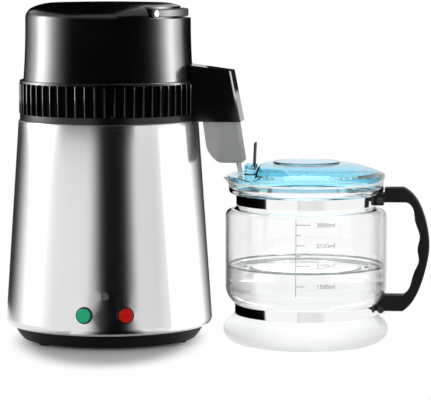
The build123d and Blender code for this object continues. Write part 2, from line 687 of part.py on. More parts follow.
export_step(thermal_fuse.part, "parts/thermal_fuse.step")

with BuildPart() as chamber_studs:
    with BuildSketch(body_top.offset(CHAMBER_BOTTOM)):
        with PolarLocations(STUD_CIRCLE, STUDS, start_angle=STUD_TURN - 90):
            Circle(STUD_RADIUS)
    extrude(amount=FOOT_HEIGHT - CHAMBER_BOTTOM)
chamber_studs.part.label = "chamber_studs"
export_step(chamber_studs.part, "parts/chamber_studs.step")

with BuildPart() as stud_nuts:
    for nut_top in (heater_bottom, STUD_BOSS_TOP - STUD_BOSS_WEB):
        with BuildSketch(body_top.offset(nut_top)):
            with PolarLocations(STUD_CIRCLE, STUDS, start_angle=STUD_TURN - 90):
                RegularPolygon(NUT_ACROSS / 2, 6, major_radius=False)
                Circle(STUD_RADIUS + RUNNING_GAP, mode=Mode.SUBTRACT)
        extrude(amount=-NUT_HEIGHT)
stud_nuts.part.label = "stud_nuts"
export_step(stud_nuts.part, "parts/stud_nuts.step")

# Push buttons: a bezel through the steel, its nut, the switch behind it and the cap
cap_bore = BUTTON_RADIUS + SEAT_GAP
for colour, plane in (("green", green_plane), ("red", red_plane)):
    with BuildPart() as bezel:
        with BuildSketch(plane):
            Circle(BEZEL_RADIUS)
        extrude(amount=BEZEL_PROUD)
        fillet(bezel.edges().sort_by(Axis(plane.origin, plane.z_dir))[-1], BEZEL_PROUD / 2)
        with BuildSketch(plane):
            Circle(BEZEL_BARREL_RADIUS)
        extrude(amount=-BEZEL_DEPTH)
        with BuildSketch(plane.offset(BEZEL_PROUD)):
            Circle(cap_bore)
        extrude(amount=-BEZEL_PROUD - BEZEL_DEPTH, mode=Mode.SUBTRACT)
    bezel.part.label = colour + "_bezel"
    export_step(bezel.part, "parts/" + colour + "_bezel.step")

    with BuildPart() as switch:
        with BuildSketch(plane.offset(-BEZEL_DEPTH)):
            Rectangle(SWITCH_WIDTH, SWITCH_WIDTH)
        extrude(amount=-SWITCH_DEPTH)
        with BuildSketch(plane.offset(-BEZEL_DEPTH)):
            Circle(BUTTON_STEM_RADIUS + SEAT_GAP)
        extrude(amount=-SWITCH_BORE_DEPTH, mode=Mode.SUBTRACT)
        with BuildSketch(plane.offset(-BEZEL_DEPTH - SWITCH_DEPTH)):
            with GridLocations(SWITCH_WIDTH / 2, 0, 2, 1):
                Rectangle(TERMINAL_THICKNESS, TERMINAL_WIDTH)
        extrude(amount=-TERMINAL_LENGTH)
    switch.part.label = colour + "_switch"
    export_step(switch.part, "parts/" + colour + "_switch.step")

    with BuildPart() as button:
        with BuildSketch(plane.offset(-BUTTON_SKIRT)):
            Circle(BUTTON_RADIUS)
        extrude(amount=BUTTON_SKIRT + BUTTON_PROUD)
        fillet(button.edges().sort_by(Axis(plane.origin, plane.z_dir))[-1], BUTTON_CROWN)
        with BuildSketch(plane.offset(-BUTTON_SKIRT)):
            Circle(BUTTON_RADIUS - BUTTON_SKIRT_WALL)
        extrude(amount=BUTTON_SKIRT, mode=Mode.SUBTRACT)
        with BuildSketch(plane):
            Circle(BUTTON_STEM_RADIUS)
        extrude(amount=-BUTTON_STEM_END)
    button.part.label = colour + "_button"
    export_step(button.part, "parts/" + colour + "_button.step")

with BuildPart() as bezel_nuts:
    for plane in (green_plane, red_plane):
        with BuildSketch(plane.offset(-BEZEL_NUT_START)):
            RegularPolygon(BEZEL_NUT_RADIUS, 12)
            Circle(BEZEL_BARREL_RADIUS + RUNNING_GAP, mode=Mode.SUBTRACT)
        extrude(amount=-BEZEL_NUT_THICKNESS)
bezel_nuts.part.label = "bezel_nuts"
export_step(bezel_nuts.part, "parts/bezel_nuts.step")

with BuildPart() as indicator_lens:
    with BuildSketch(indicator_plane):
        Circle(INDICATOR_RADIUS)
    extrude(amount=INDICATOR_PROUD)
    fillet(
        indicator_lens.edges().sort_by(Axis(indicator_plane.origin, indicator_plane.z_dir))[-1],
        INDICATOR_PROUD * 3 / 4,
    )
    with BuildSketch(indicator_plane):
        Circle(INDICATOR_STEM_RADIUS)
    extrude(amount=-INDICATOR_STEM)
indicator_lens.part.label = "indicator_lens"
export_step(indicator_lens.part, "parts/indicator_lens.step")

with BuildPart() as indicator_holder:
    with BuildSketch(indicator_plane.offset(-HOLDER_START)):
        Circle(HOLDER_RADIUS)
    extrude(amount=-HOLDER_LENGTH)
    with BuildSketch(indicator_plane.offset(-HOLDER_START)):
        Circle(INDICATOR_STEM_RADIUS + RUNNING_GAP)
    extrude(amount=HOLDER_START - INDICATOR_STEM, mode=Mode.SUBTRACT)
indicator_holder.part.label = "indicator_holder"
export_step(indicator_holder.part, "parts/indicator_holder.step")

# Power inlet: a flanged socket body with three flat pins
with BuildPart() as power_inlet:
    with BuildSketch(inlet_plane):
        RectangleRounded(INLET_FLANGE_WIDTH, INLET_FLANGE_TALL, INLET_CORNER)
    extrude(amount=INLET_FLANGE_THICKNESS)
    with BuildSketch(inlet_plane):
        RectangleRounded(INLET_WIDTH, INLET_TALL, INLET_CORNER)
    extrude(amount=-INLET_DEPTH)
    with BuildSketch(inlet_plane.offset(INLET_FLANGE_THICKNESS)):
        Rectangle(INLET_OPENING_WIDTH, INLET_OPENING_TALL)
        chamfer(
            vertices().group_by(Axis(inlet_plane.origin, inlet_plane.y_dir))[-1],
            length=INLET_CORNER,
        )
    extrude(amount=-INLET_OPENING_DEPTH, mode=Mode.SUBTRACT)
power_inlet.part.label = "power_inlet"
export_step(power_inlet.part, "parts/power_inlet.step")

inlet_pocket_floor = INLET_FLANGE_THICKNESS - INLET_OPENING_DEPTH
with BuildPart() as inlet_pins:
    with BuildSketch(inlet_plane.offset(inlet_pocket_floor)):
        with Locations((-PIN_PITCH, -PIN_RISE), (0, PIN_RISE), (PIN_PITCH, -PIN_RISE)):
            Rectangle(PIN_WIDTH, PIN_TALL)
    extrude(amount=PIN_LENGTH)
inlet_pins.part.label = "inlet_pins"
export_step(inlet_pins.part, "parts/inlet_pins.step")

# Outlet for the head's fan lead: a small two-slot socket
with BuildPart() as fan_outlet:
    with BuildSketch(outlet_plane):
        RectangleRounded(OUTLET_FLANGE_WIDTH, OUTLET_FLANGE_TALL, INLET_CORNER)
    extrude(amount=INLET_FLANGE_THICKNESS)
    with BuildSketch(outlet_plane):
        RectangleRounded(OUTLET_WIDTH, OUTLET_TALL, INLET_CORNER)
    extrude(amount=-OUTLET_DEPTH)
    with BuildSketch(outlet_plane.offset(INLET_FLANGE_THICKNESS)):
        RectangleRounded(OUTLET_OPENING_WIDTH, OUTLET_OPENING_TALL, INLET_CORNER - SEAT_GAP)
    extrude(amount=-OUTLET_OPENING_DEPTH, mode=Mode.SUBTRACT)
    with BuildSketch(outlet_plane.offset(INLET_FLANGE_THICKNESS - OUTLET_OPENING_DEPTH)):
        with GridLocations(OUTLET_PIN_PITCH, 0, 2, 1):
            Circle(OUTLET_PIN_RADIUS + SEAT_GAP)
    extrude(amount=-OUTLET_PIN_LENGTH, mode=Mode.SUBTRACT)
fan_outlet.part.label = "fan_outlet"
export_step(fan_outlet.part, "parts/fan_outlet.step")

# Head, from the gasket up
gasket_outer = LID_PLATE_RADIUS - FACE_GAP
with BuildPart() as head_gasket:
    with BuildSketch(body_top.offset(SHELL_TOP)):
        Circle(gasket_outer)
        Circle(chamber_inner - FACE_GAP, mode=Mode.SUBTRACT)
    extrude(amount=GASKET_THICKNESS)
head_gasket.part.label = "head_gasket"
export_step(head_gasket.part, "parts/head_gasket.step")

plate_bottom = SHELL_TOP + GASKET_THICKNESS
plate_top = plate_bottom + LID_PLATE_THICKNESS
pan_inner = LID_PAN_RADIUS - LID_PLATE_THICKNESS
pan_floor = plate_bottom - LID_PAN_DEPTH
with BuildPart() as condenser_lid:
    with BuildSketch(body_side):
        with BuildLine():
            Polyline(
                (STEAM_HOLE_RADIUS, pan_floor),
                (LID_PAN_RADIUS, pan_floor),
                (LID_PAN_RADIUS, plate_bottom),
                (LID_PLATE_RADIUS, plate_bottom),
                (LID_PLATE_RADIUS, plate_top),
                (pan_inner, plate_top),
                (pan_inner, pan_floor + LID_PLATE_THICKNESS),
                (STEAM_HOLE_RADIUS, pan_floor + LID_PLATE_THICKNESS),
                close=True,
            )
        make_face()
    revolve(axis=body_axis)
condenser_lid.part.label = "condenser_lid"
export_step(condenser_lid.part, "parts/condenser_lid.step")

# Condenser coil: a helix of joined arcs, two for each quarter turn
coil_start_angle = math.radians(-SPOUT_TURN - COIL_EXIT_TURN)


def coil_point(turn):
    angle = coil_start_angle - 2 * math.pi * turn
    x = BODY_X + COIL_RADIUS * math.cos(angle)
    y = BODY_Y + COIL_RADIUS * math.sin(angle)
    return Vector(x, y, COIL_BOTTOM + COIL_PITCH * turn)


# The unit direction of the coil as it climbs
def coil_tangent(turn):
    angle = coil_start_angle - 2 * math.pi * turn
    rise = COIL_PITCH / (2 * math.pi * COIL_RADIUS)
    return Vector(math.sin(angle), -math.cos(angle), rise).normalized()


# Where the two arcs of a biarc between two ends of the coil's quarter turn meet
def biarc_joint(start, start_dir, end, end_dir):
    span = end - start
    both = start_dir + end_dir
    a = 2 * (1 - start_dir.dot(end_dir))
    b = 2 * span.dot(both)
    reach = (math.sqrt(b * b + 4 * a * span.dot(span)) - b) / (2 * a)
    return (start + start_dir * reach + end - end_dir * reach) * 0.5


coil_lead = 2 * COIL_TUBE_RADIUS
# Outlet tube: from the coil's lower end, through the ring, then down over the basket
coil_low_end = coil_point(0) - coil_tangent(0) * coil_lead
exit_dir = coil_tangent(0) * -1
exit_local = Vector(
    (coil_low_end.X - BODY_X) * spout_cos - (coil_low_end.Y - BODY_Y) * spout_sin,
    (coil_low_end.X - BODY_X) * spout_sin + (coil_low_end.Y - BODY_Y) * spout_cos,
    0,
)
exit_slant = math.sin(math.radians(90 - COIL_EXIT_TURN)) * math.hypot(exit_dir.X, exit_dir.Y)
exit_run = abs(exit_local.Y) / exit_slant
exit_corner = coil_low_end + exit_dir * exit_run
exit_reach = (exit_corner.X - BODY_X) * spout_cos - (exit_corner.Y - BODY_Y) * spout_sin
down_corner = Vector(BODY_X, BODY_Y, exit_corner.Z) + spout_dir * OUTLET_END_REACH

# Vent ring: a smooth band, upright ribs with open gaps between, and a top flange
band_bottom = SHELL_TOP + FACE_GAP
band_inner = VENT_OUTER_RADIUS - VENT_BAND_WALL
vent_flange_bottom = VENT_TOP - VENT_TOP_FLANGE
outlet_window = Plane(exit_corner + spout_dir * (VENT_OUTER_RADIUS - exit_reach), z_dir=spout_dir)
with BuildPart() as vent_ring:
    with BuildSketch(body_top.offset(band_bottom)):
        Circle(VENT_OUTER_RADIUS)
        Circle(band_inner, mode=Mode.SUBTRACT)
    extrude(amount=VENT_BAND_TOP - band_bottom)
    with BuildSketch(body_top.offset(plate_top)):
        Circle(VENT_OUTER_RADIUS)
        Circle(LID_PLATE_RADIUS - VENT_BAND_WALL, mode=Mode.SUBTRACT)
    extrude(amount=VENT_BAND_TOP - plate_top)
    with BuildSketch(body_top.offset(vent_flange_bottom)):
        Circle(VENT_OUTER_RADIUS)
        Circle(VENT_TOP_INNER_RADIUS, mode=Mode.SUBTRACT)
    extrude(amount=VENT_TOP_FLANGE)
    fillet(
        vent_ring.edges().filter_by(GeomType.CIRCLE).group_by(Axis.Z)[-1].sort_by(SortBy.RADIUS)[-1],
        VENT_TOP_FLANGE / 3,
    )
    with BuildSketch(body_top.offset(VENT_BAND_TOP)):
        with PolarLocations(VENT_OUTER_RADIUS - RIB_DEPTH / 2, VENT_RIBS, start_angle=RIB_TURN):
            Rectangle(RIB_DEPTH - SEAT_GAP, RIB_WIDTH)
    extrude(amount=vent_flange_bottom - VENT_BAND_TOP)
    with BuildSketch(outlet_window):
        Circle(COIL_TUBE_RADIUS + FACE_GAP)
    extrude(amount=SPOUT_WALL + RIB_DEPTH, both=True, mode=Mode.SUBTRACT)
vent_ring.part.label = "vent_ring"
export_step(vent_ring.part, "parts/vent_ring.step")


# The head cover's outline as one closed face, drawn in by a wall
def cover_outline(inset, bottom):
    with BuildSketch(Plane.XY) as outline:
        with BuildLine():
            Line((0, bottom), (COVER_BOTTOM_RADIUS - inset, bottom))
            ThreePointArc(
                (COVER_BOTTOM_RADIUS - inset, bottom),
                (COVER_MID_RADIUS - inset, COVER_MID_HEIGHT),
                (COVER_SIDE_RADIUS - inset, COVER_SIDE_TOP - inset),
            )
            corner = TangentArc(
                (COVER_SIDE_RADIUS - inset, COVER_SIDE_TOP - inset),
                (COVER_CORNER_RADIUS - inset, COVER_CORNER_HEIGHT - inset),
                tangent=(0, 1),
            )
            TangentArc(
                (COVER_CORNER_RADIUS - inset, COVER_CORNER_HEIGHT - inset),
                (COVER_SHOULDER_RADIUS, COVER_SHOULDER_HEIGHT - inset),
                tangent=corner % 1,
            )
            TangentArc(
                (0, COVER_TOP - inset),
                (COVER_SHOULDER_RADIUS, COVER_SHOULDER_HEIGHT - inset),
                tangent=(1, 0),
            )
            Line((0, COVER_TOP - inset), (0, bottom))
        make_face()
    return outline.sketch_local


# The handle's recess: from one pivot to the other round the right and the back
recess_start = BAIL_PIVOT_TURN - RECESS_MARGIN
recess_arc = 180 + 2 * RECESS_MARGIN
recess_overrun_radius = COVER_BOTTOM_RADIUS + CUT_OVERRUN
recess_overrun_top = COVER_TOP + CUT_OVERRUN
cavity_corner = COVER_WALL / (RECESS_INNER_RADIUS - COVER_WALL)
with BuildPart() as cover_cavity:
    with BuildSketch(body_side):
        add(cover_outline(COVER_WALL, VENT_TOP))
    revolve(axis=body_axis)
    with BuildSketch(body_side_at(recess_start - math.degrees(cavity_corner))):
        with BuildLine():
            Polyline(
                (RECESS_INNER_RADIUS - COVER_WALL, RECESS_FLOOR - COVER_WALL),
                (recess_overrun_radius, RECESS_FLOOR - COVER_WALL),
                (recess_overrun_radius, recess_overrun_top),
                (RECESS_INNER_RADIUS - COVER_WALL, recess_overrun_top),
                close=True,
            )
        make_face()
    revolve(
        axis=body_axis,
        revolution_arc=recess_arc + 2 * math.degrees(cavity_corner),
        mode=Mode.SUBTRACT,
    )

bracket_top = MOTOR_BOTTOM + MOTOR_TALL + BRACKET_THICKNESS
bail_axis_height = BAIL_BOTTOM + BAIL_TALL / 2
boss_points = [
    (side * BOSS_SPREAD, end * BOSS_PITCH / 2) for side in (-1, 1) for end in (-1, 1)
]
pin_plane = Plane(
    (BODY_X, BODY_Y, bail_axis_height),
    x_dir=(0, 0, 1),
    z_dir=body_side_at(BAIL_PIVOT_TURN).x_dir,
)
head_inlet_angle = 180 - HEAD_INLET_TURN
head_inlet_side = body_side_at(head_inlet_angle)
head_inlet_plane = Plane(
    head_inlet_side.origin
    + head_inlet_side.x_dir * COVER_BOTTOM_RADIUS
    + Vector(0, 0, HEAD_INLET_HEIGHT),
    x_dir=head_inlet_side.z_dir,
    z_dir=head_inlet_side.x_dir,
)
with BuildPart() as head_cover:
    with BuildSketch(body_side):
        add(cover_outline(0, VENT_TOP))
    revolve(axis=body_axis)
    with BuildSketch(body_side_at(recess_start)):
        with BuildLine():
            Polyline(
                (RECESS_INNER_RADIUS, RECESS_FLOOR),
                (recess_overrun_radius, RECESS_FLOOR),
                (recess_overrun_radius, recess_overrun_top),
                (RECESS_INNER_RADIUS, recess_overrun_top),
                close=True,
            )
        make_face()
    revolve(axis=body_axis, revolution_arc=recess_arc, mode=Mode.SUBTRACT)
    add(cover_cavity.part, mode=Mode.SUBTRACT)
    with BuildSketch(body_top.offset(VENT_TOP - COVER_SPIGOT)):
        Circle(COVER_SPIGOT_RADIUS)
        Circle(COVER_SPIGOT_RADIUS - COVER_SPIGOT_WALL, mode=Mode.SUBTRACT)
    extrude(amount=COVER_SPIGOT + COVER_SPIGOT_WALL)
    with BuildSketch(body_top.offset(VENT_TOP)):
        Circle(COVER_BOTTOM_RADIUS - COVER_WALL / 2)
        Circle(COVER_SPIGOT_RADIUS - COVER_SPIGOT_WALL, mode=Mode.SUBTRACT)
    extrude(amount=COVER_SPIGOT_WALL)
    with BuildSketch(body_top.offset(bracket_top)):
        with Locations(*boss_points):
            Circle(BOSS_RADIUS)
    extrude(amount=COVER_SHOULDER_HEIGHT - COVER_WALL / 2 - bracket_top)
    with BuildSketch(body_top.offset(bracket_top)):
        with Locations(*boss_points):
            Circle(SCREW_RADIUS + RUNNING_GAP)
    extrude(amount=SCREW_LENGTH, mode=Mode.SUBTRACT)
    with BuildSketch(pin_plane):
        Circle(BAIL_PIN_RADIUS + RUNNING_GAP)
    extrude(amount=RECESS_INNER_RADIUS + CUT_OVERRUN, both=True, mode=Mode.SUBTRACT)
    with BuildSketch(head_inlet_plane):
        RectangleRounded(OUTLET_WIDTH + SEAT_GAP, OUTLET_TALL + SEAT_GAP, INLET_CORNER)
    extrude(amount=CUT_OVERRUN, both=True, mode=Mode.SUBTRACT)
head_cover.part.label = "head_cover"
export_step(head_cover.part, "parts/head_cover.step")

# Carrying handle: a half ring that folds down into the recess, with an eye at each end
bail_mid_radius = (BAIL_INNER_RADIUS + BAIL_OUTER_RADIUS) / 2
bail_thickness = BAIL_OUTER_RADIUS - BAIL_INNER_RADIUS
with BuildPart() as carry_handle:
    with BuildSketch(body_side_at(BAIL_PIVOT_TURN)):
        with Locations((bail_mid_radius, bail_axis_height)):
            RectangleRounded(bail_thickness, BAIL_TALL, BAIL_EDGE_FILLET)
    revolve(axis=body_axis, revolution_arc=180)
    for side in (-1, 1):
        with BuildSketch(pin_plane.offset(side * BAIL_INNER_RADIUS)):
            Circle(BAIL_EYE_RADIUS)
        extrude(amount=side * bail_thickness)
    with BuildSketch(pin_plane):
        Circle(BAIL_PIN_RADIUS + RUNNING_GAP)
    extrude(amount=BAIL_OUTER_RADIUS + CUT_OVERRUN, both=True, mode=Mode.SUBTRACT)
carry_handle.part.label = "carry_handle"
export_step(carry_handle.part, "parts/carry_handle.step")

pin_length = BAIL_OUTER_RADIUS - RECESS_INNER_RADIUS + COVER_WALL + FACE_GAP
with BuildPart() as handle_pins:
    for side in (-1, 1):
        with BuildSketch(pin_plane.offset(side * (BAIL_OUTER_RADIUS + FACE_GAP))):
            Circle(BAIL_PIN_RADIUS)
        extrude(amount=-side * pin_length)
        with BuildSketch(pin_plane.offset(side * (BAIL_OUTER_RADIUS + FACE_GAP))):
            Circle(BAIL_PIN_HEAD_RADIUS)
        extrude(amount=side * BAIL_PIN_HEAD)
handle_pins.part.label = "handle_pins"
export_step(handle_pins.part, "parts/handle_pins.step")

# Socket in the head for the fan lead, with two round pins
with BuildPart() as head_inlet:
    with BuildSketch(head_inlet_plane):
        RectangleRounded(OUTLET_FLANGE_WIDTH, OUTLET_FLANGE_TALL, INLET_CORNER)
    extrude(amount=INLET_FLANGE_THICKNESS)
    with BuildSketch(head_inlet_plane):
        RectangleRounded(OUTLET_WIDTH, OUTLET_TALL, INLET_CORNER)
    extrude(amount=-OUTLET_DEPTH)
    with BuildSketch(head_inlet_plane.offset(INLET_FLANGE_THICKNESS)):
        RectangleRounded(OUTLET_OPENING_WIDTH, OUTLET_OPENING_TALL, INLET_CORNER - SEAT_GAP)
    extrude(amount=-OUTLET_OPENING_DEPTH - INLET_FLANGE_THICKNESS, mode=Mode.SUBTRACT)
head_inlet.part.label = "head_inlet"
export_step(head_inlet.part, "parts/head_inlet.step")

with BuildPart() as head_inlet_pins:
    with BuildSketch(head_inlet_plane.offset(-OUTLET_OPENING_DEPTH)):
        with GridLocations(OUTLET_PIN_PITCH, 0, 2, 1):
            Circle(OUTLET_PIN_RADIUS)
    extrude(amount=OUTLET_PIN_LENGTH)
head_inlet_pins.part.label = "head_inlet_pins"
export_step(head_inlet_pins.part, "parts/head_inlet_pins.step")

# Fan: motor on a bracket under the cover, shaft, and a rotor with twisted blades
motor_top = MOTOR_BOTTOM + MOTOR_TALL
with BuildPart() as fan_motor:
    with BuildSketch(body_top.offset(motor_top)):
        RectangleRounded(MOTOR_WIDTH, MOTOR_WIDTH * 2 / 3, INLET_CORNER)
    extrude(amount=-MOTOR_STACK_TALL)
    with BuildSketch(body_top.offset(motor_top)):
        Circle(MOTOR_CAN_RADIUS)
    extrude(amount=-MOTOR_TALL)
    with BuildSketch(body_top.offset(MOTOR_BOTTOM)):
        Circle(SHAFT_RADIUS + RUNNING_GAP)
    extrude(amount=MOTOR_STACK_TALL, mode=Mode.SUBTRACT)
fan_motor.part.label = "fan_motor"
export_step(fan_motor.part, "parts/fan_motor.step")

with BuildPart() as motor_bracket:
    with BuildSketch(body_top.offset(motor_top)):
        RectangleRounded(BRACKET_LENGTH, BRACKET_WIDTH, INLET_CORNER)
        with Locations(*boss_points):
            Circle(SCREW_RADIUS + SEAT_GAP, mode=Mode.SUBTRACT)
    extrude(amount=BRACKET_THICKNESS)
motor_bracket.part.label = "motor_bracket"
export_step(motor_bracket.part, "parts/motor_bracket.step")

with BuildPart() as bracket_screws:
    with BuildSketch(body_top.offset(motor_top)):
        with Locations(*boss_points):
            Circle(SCREW_HEAD_RADIUS)
    extrude(amount=-SCREW_HEAD)
    with BuildSketch(body_top.offset(motor_top)):
        with Locations(*boss_points):
            Circle(SCREW_RADIUS)
    extrude(amount=SCREW_LENGTH)
bracket_screws.part.label = "bracket_screws"
export_step(bracket_screws.part, "parts/bracket_screws.step")

rotor_mid = ROTOR_BOTTOM + ROTOR_TALL / 2
blade_stations = [
    (ROTOR_HUB_RADIUS - SHAFT_RADIUS, BLADE_PITCH + BLADE_TWIST, BLADE_ROOT_SHARE),
    (ROTOR_RADIUS, BLADE_PITCH - BLADE_TWIST, BLADE_TIP_SHARE),
]
with BuildPart() as fan_rotor:
    with BuildSketch(body_top.offset(ROTOR_BOTTOM)):
        Circle(ROTOR_HUB_RADIUS)
        Circle(SHAFT_RADIUS, mode=Mode.SUBTRACT)
    extrude(amount=ROTOR_TALL)
    for blade in range(ROTOR_BLADES):
        outward = body_side_at(blade * 360 / ROTOR_BLADES).x_dir
        across = Vector(0, 0, 1).cross(outward)
        root = Vector(BODY_X, BODY_Y, rotor_mid)
        for reach, twist, share in blade_stations:
            lean = across.rotate(Axis((0, 0, 0), outward), twist)
            with BuildSketch(Plane(root + outward * reach, x_dir=lean, z_dir=outward)):
                Rectangle(ROTOR_TALL * share, BLADE_THICKNESS)
        loft(ruled=True)
    with BuildSketch(body_top.offset(ROTOR_BOTTOM)):
        Circle(SHAFT_RADIUS)
    extrude(amount=ROTOR_TALL, mode=Mode.SUBTRACT)
fan_rotor.part.label = "fan_rotor"
export_step(fan_rotor.part, "parts/fan_rotor.step")

shaft_top = MOTOR_BOTTOM + MOTOR_STACK_TALL - FACE_GAP
with BuildPart() as motor_shaft:
    with BuildSketch(body_top.offset(ROTOR_BOTTOM)):
        Circle(SHAFT_RADIUS)
    extrude(amount=shaft_top - ROTOR_BOTTOM)
motor_shaft.part.label = "motor_shaft"
export_step(motor_shaft.part, "parts/motor_shaft.step")

quarters = round(COIL_TURNS * 4)
with BuildPart() as condenser_coil:
    with BuildLine() as coil_path:
        Line(coil_point(0) - coil_tangent(0) * coil_lead, coil_point(0))
        for quarter in range(quarters):
            turn = quarter / 4
            start, start_dir = coil_point(turn), coil_tangent(turn)
            end, end_dir = coil_point(turn + 1 / 4), coil_tangent(turn + 1 / 4)
            joint = biarc_joint(start, start_dir, end, end_dir)
            first = TangentArc(start, joint, tangent=start_dir)
            TangentArc(joint, end, tangent=first % 1)
        coil_end_dir = coil_tangent(quarters / 4)
        Line(coil_point(quarters / 4), coil_point(quarters / 4) + coil_end_dir * coil_lead)
    with BuildSketch(coil_path.line ^ 0):
        Circle(COIL_TUBE_RADIUS)
    sweep(path=coil_path.line)
condenser_coil.part.label = "condenser_coil"
export_step(condenser_coil.part, "parts/condenser_coil.step")
coil_steps = 120
coil_samples = [coil_point(step / coil_steps) for step in range(int(COIL_TURNS * coil_steps) + 1)]
coil_gap = min(
    (far - near).length - 2 * COIL_TUBE_RADIUS
    for spot, near in enumerate(coil_samples)
    for far in coil_samples[spot + coil_steps // 2:]
)
print("coil gap to itself", round(coil_gap, 2), "least allowed", WIRE_GAP_LIMIT)

with BuildPart() as outlet_tube:
    with BuildLine() as outlet_path:
        FilletPolyline(
            coil_low_end,
            exit_corner,
            down_corner,
            down_corner - Vector(0, 0, OUTLET_BEND + FACE_GAP),
            radius=OUTLET_BEND,
        )
    with BuildSketch(outlet_path.line ^ 0):
        Circle(COIL_TUBE_RADIUS)
    sweep(path=outlet_path.line)
outlet_tube.part.label = "outlet_tube"
export_step(outlet_tube.part, "parts/outlet_tube.step")

# Steam tube: from the middle of the lid plate, up and out to the coil's upper end
coil_high_end = coil_point(quarters / 4) + coil_end_dir * coil_lead
steam_corner = coil_high_end + coil_end_dir * STEAM_RUN
steam_top = Vector(BODY_X, BODY_Y, steam_corner.Z)
with BuildPart() as steam_tube:
    with BuildLine() as steam_path:
        FilletPolyline(
            coil_high_end,
            steam_corner,
            steam_top,
            Vector(BODY_X, BODY_Y, pan_floor + LID_PLATE_THICKNESS),
            radius=STEAM_BEND,
        )
    with BuildSketch(steam_path.line ^ 0):
        Circle(COIL_TUBE_RADIUS)
    sweep(path=steam_path.line)
steam_tube.part.label = "steam_tube"
export_step(steam_tube.part, "parts/steam_tube.step")

# Cooling fins: upright plates round the coil, each notched for the turns that cross it
notch_reach = FIN_OUTER_RADIUS + CUT_OVERRUN
notch_half = COIL_TUBE_RADIUS + SEAT_GAP + COIL_PITCH * FIN_THICKNESS / COIL_RADIUS
with BuildPart() as cooling_fins:
    for fin in range(FINS):
        past_exit = (FIN_FIRST_TURN + fin * FIN_STEP) / 360
        turn_angle = math.degrees(coil_start_angle) - past_exit * 360
        side = body_side_at(turn_angle + 90)
        with BuildSketch(side):
            with BuildLine():
                Polyline(
                    (FIN_INNER_RADIUS, FIN_BOTTOM),
                    (FIN_OUTER_RADIUS, FIN_BOTTOM),
                    (FIN_OUTER_RADIUS, FIN_TOP),
                    (FIN_INNER_RADIUS, FIN_TOP),
                    close=True,
                )
            make_face()
            for turn in range(math.ceil(COIL_TURNS)):
                height = COIL_BOTTOM + COIL_PITCH * (turn + past_exit)
                if turn + past_exit <= COIL_TURNS:
                    with BuildLine():
                        Polyline(
                            (FIN_NOTCH_INNER_RADIUS, height - notch_half),
                            (notch_reach, height - notch_half),
                            (notch_reach, height + notch_half),
                            (FIN_NOTCH_INNER_RADIUS, height + notch_half),
                            close=True,
                        )
                    make_face(mode=Mode.SUBTRACT)
        extrude(amount=FIN_THICKNESS / 2, both=True)
cooling_fins.part.label = "cooling_fins"
export_step(cooling_fins.part, "parts/cooling_fins.step")

# Spout housing: a hollow arm against the vent ring, with a socket for the basket's neck
housing_points = [
    (SPOUT_INNER_REACH, SPOUT_TOP_INNER),
    (SPOUT_TOP_REACH, SPOUT_TOP_OUTER),
    (SPOUT_BOTTOM_REACH, SPOUT_BOTTOM),
    (SPOUT_INNER_REACH, SPOUT_BOTTOM),
]
cavity_points = [
    (SPOUT_INNER_REACH - CUT_OVERRUN, SPOUT_TOP_INNER - 2 * SPOUT_WALL),
    (SPOUT_TOP_REACH - SPOUT_WALL, SPOUT_TOP_OUTER - SPOUT_WALL),
    (SPOUT_BOTTOM_REACH - SPOUT_WALL, SPOUT_BOTTOM + SPOUT_WALL),
    (SPOUT_INNER_REACH - CUT_OVERRUN, SPOUT_BOTTOM + SPOUT_WALL),
]
neck_mid = (BASKET_NECK_BACK + BASKET_NECK_FRONT) / 2
neck_length = BASKET_NECK_FRONT - BASKET_NECK_BACK
with BuildPart() as cover_envelope:
    with BuildSketch(body_side):
        add(cover_outline(-SEAT_GAP, VENT_TOP - SEAT_GAP))
    revolve(axis=body_axis)
with BuildPart() as spout_housing:
    with BuildSketch(spout_side):
        with BuildLine():
            Polyline(*housing_points, close=True)
        make_face()
    extrude(amount=SPOUT_WIDTH / 2, both=True)
    nose = spout_housing.faces().sort_by(Axis((BODY_X, BODY_Y, 0), spout_dir))[-1]
    fillet(nose.edges().filter_by(lambda edge: abs(edge.tangent_at(0).Z) > spout_cos / 2), SPOUT_FILLET)
    with BuildSketch(spout_side):
        with BuildLine():
            Polyline(*cavity_points, close=True)
        make_face()
    extrude(amount=SPOUT_WIDTH / 2 - SPOUT_WALL, both=True, mode=Mode.SUBTRACT)
    with BuildSketch(spout_top.offset(SPOUT_BOTTOM)):
        with Locations((neck_mid, 0)):
            Rectangle(neck_length + 2 * SPOUT_WALL, BASKET_NECK_WIDTH + 2 * SPOUT_WALL)
    extrude(amount=SOCKET_TALL)
    with BuildSketch(spout_top.offset(SPOUT_BOTTOM)):
        with Locations((neck_mid, 0)):
            Rectangle(neck_length + 2 * SEAT_GAP, BASKET_NECK_WIDTH + 2 * SEAT_GAP)
    extrude(amount=SOCKET_TALL, mode=Mode.SUBTRACT)
    with BuildSketch(body_top.offset(SPOUT_BOTTOM - CUT_OVERRUN)):
        Circle(VENT_OUTER_RADIUS + SEAT_GAP)
    extrude(amount=VENT_TOP + SEAT_GAP - SPOUT_BOTTOM + CUT_OVERRUN, mode=Mode.SUBTRACT)
    with BuildSketch(body_top.offset(SPOUT_BOTTOM - CUT_OVERRUN)):
        Circle(SHELL_TOP_RADIUS + FACE_GAP)
    extrude(amount=band_bottom - SPOUT_BOTTOM + CUT_OVERRUN, mode=Mode.SUBTRACT)
    add(cover_envelope.part, mode=Mode.SUBTRACT)
spout_housing.part.label = "spout_housing"
export_step(spout_housing.part, "parts/spout_housing.step")


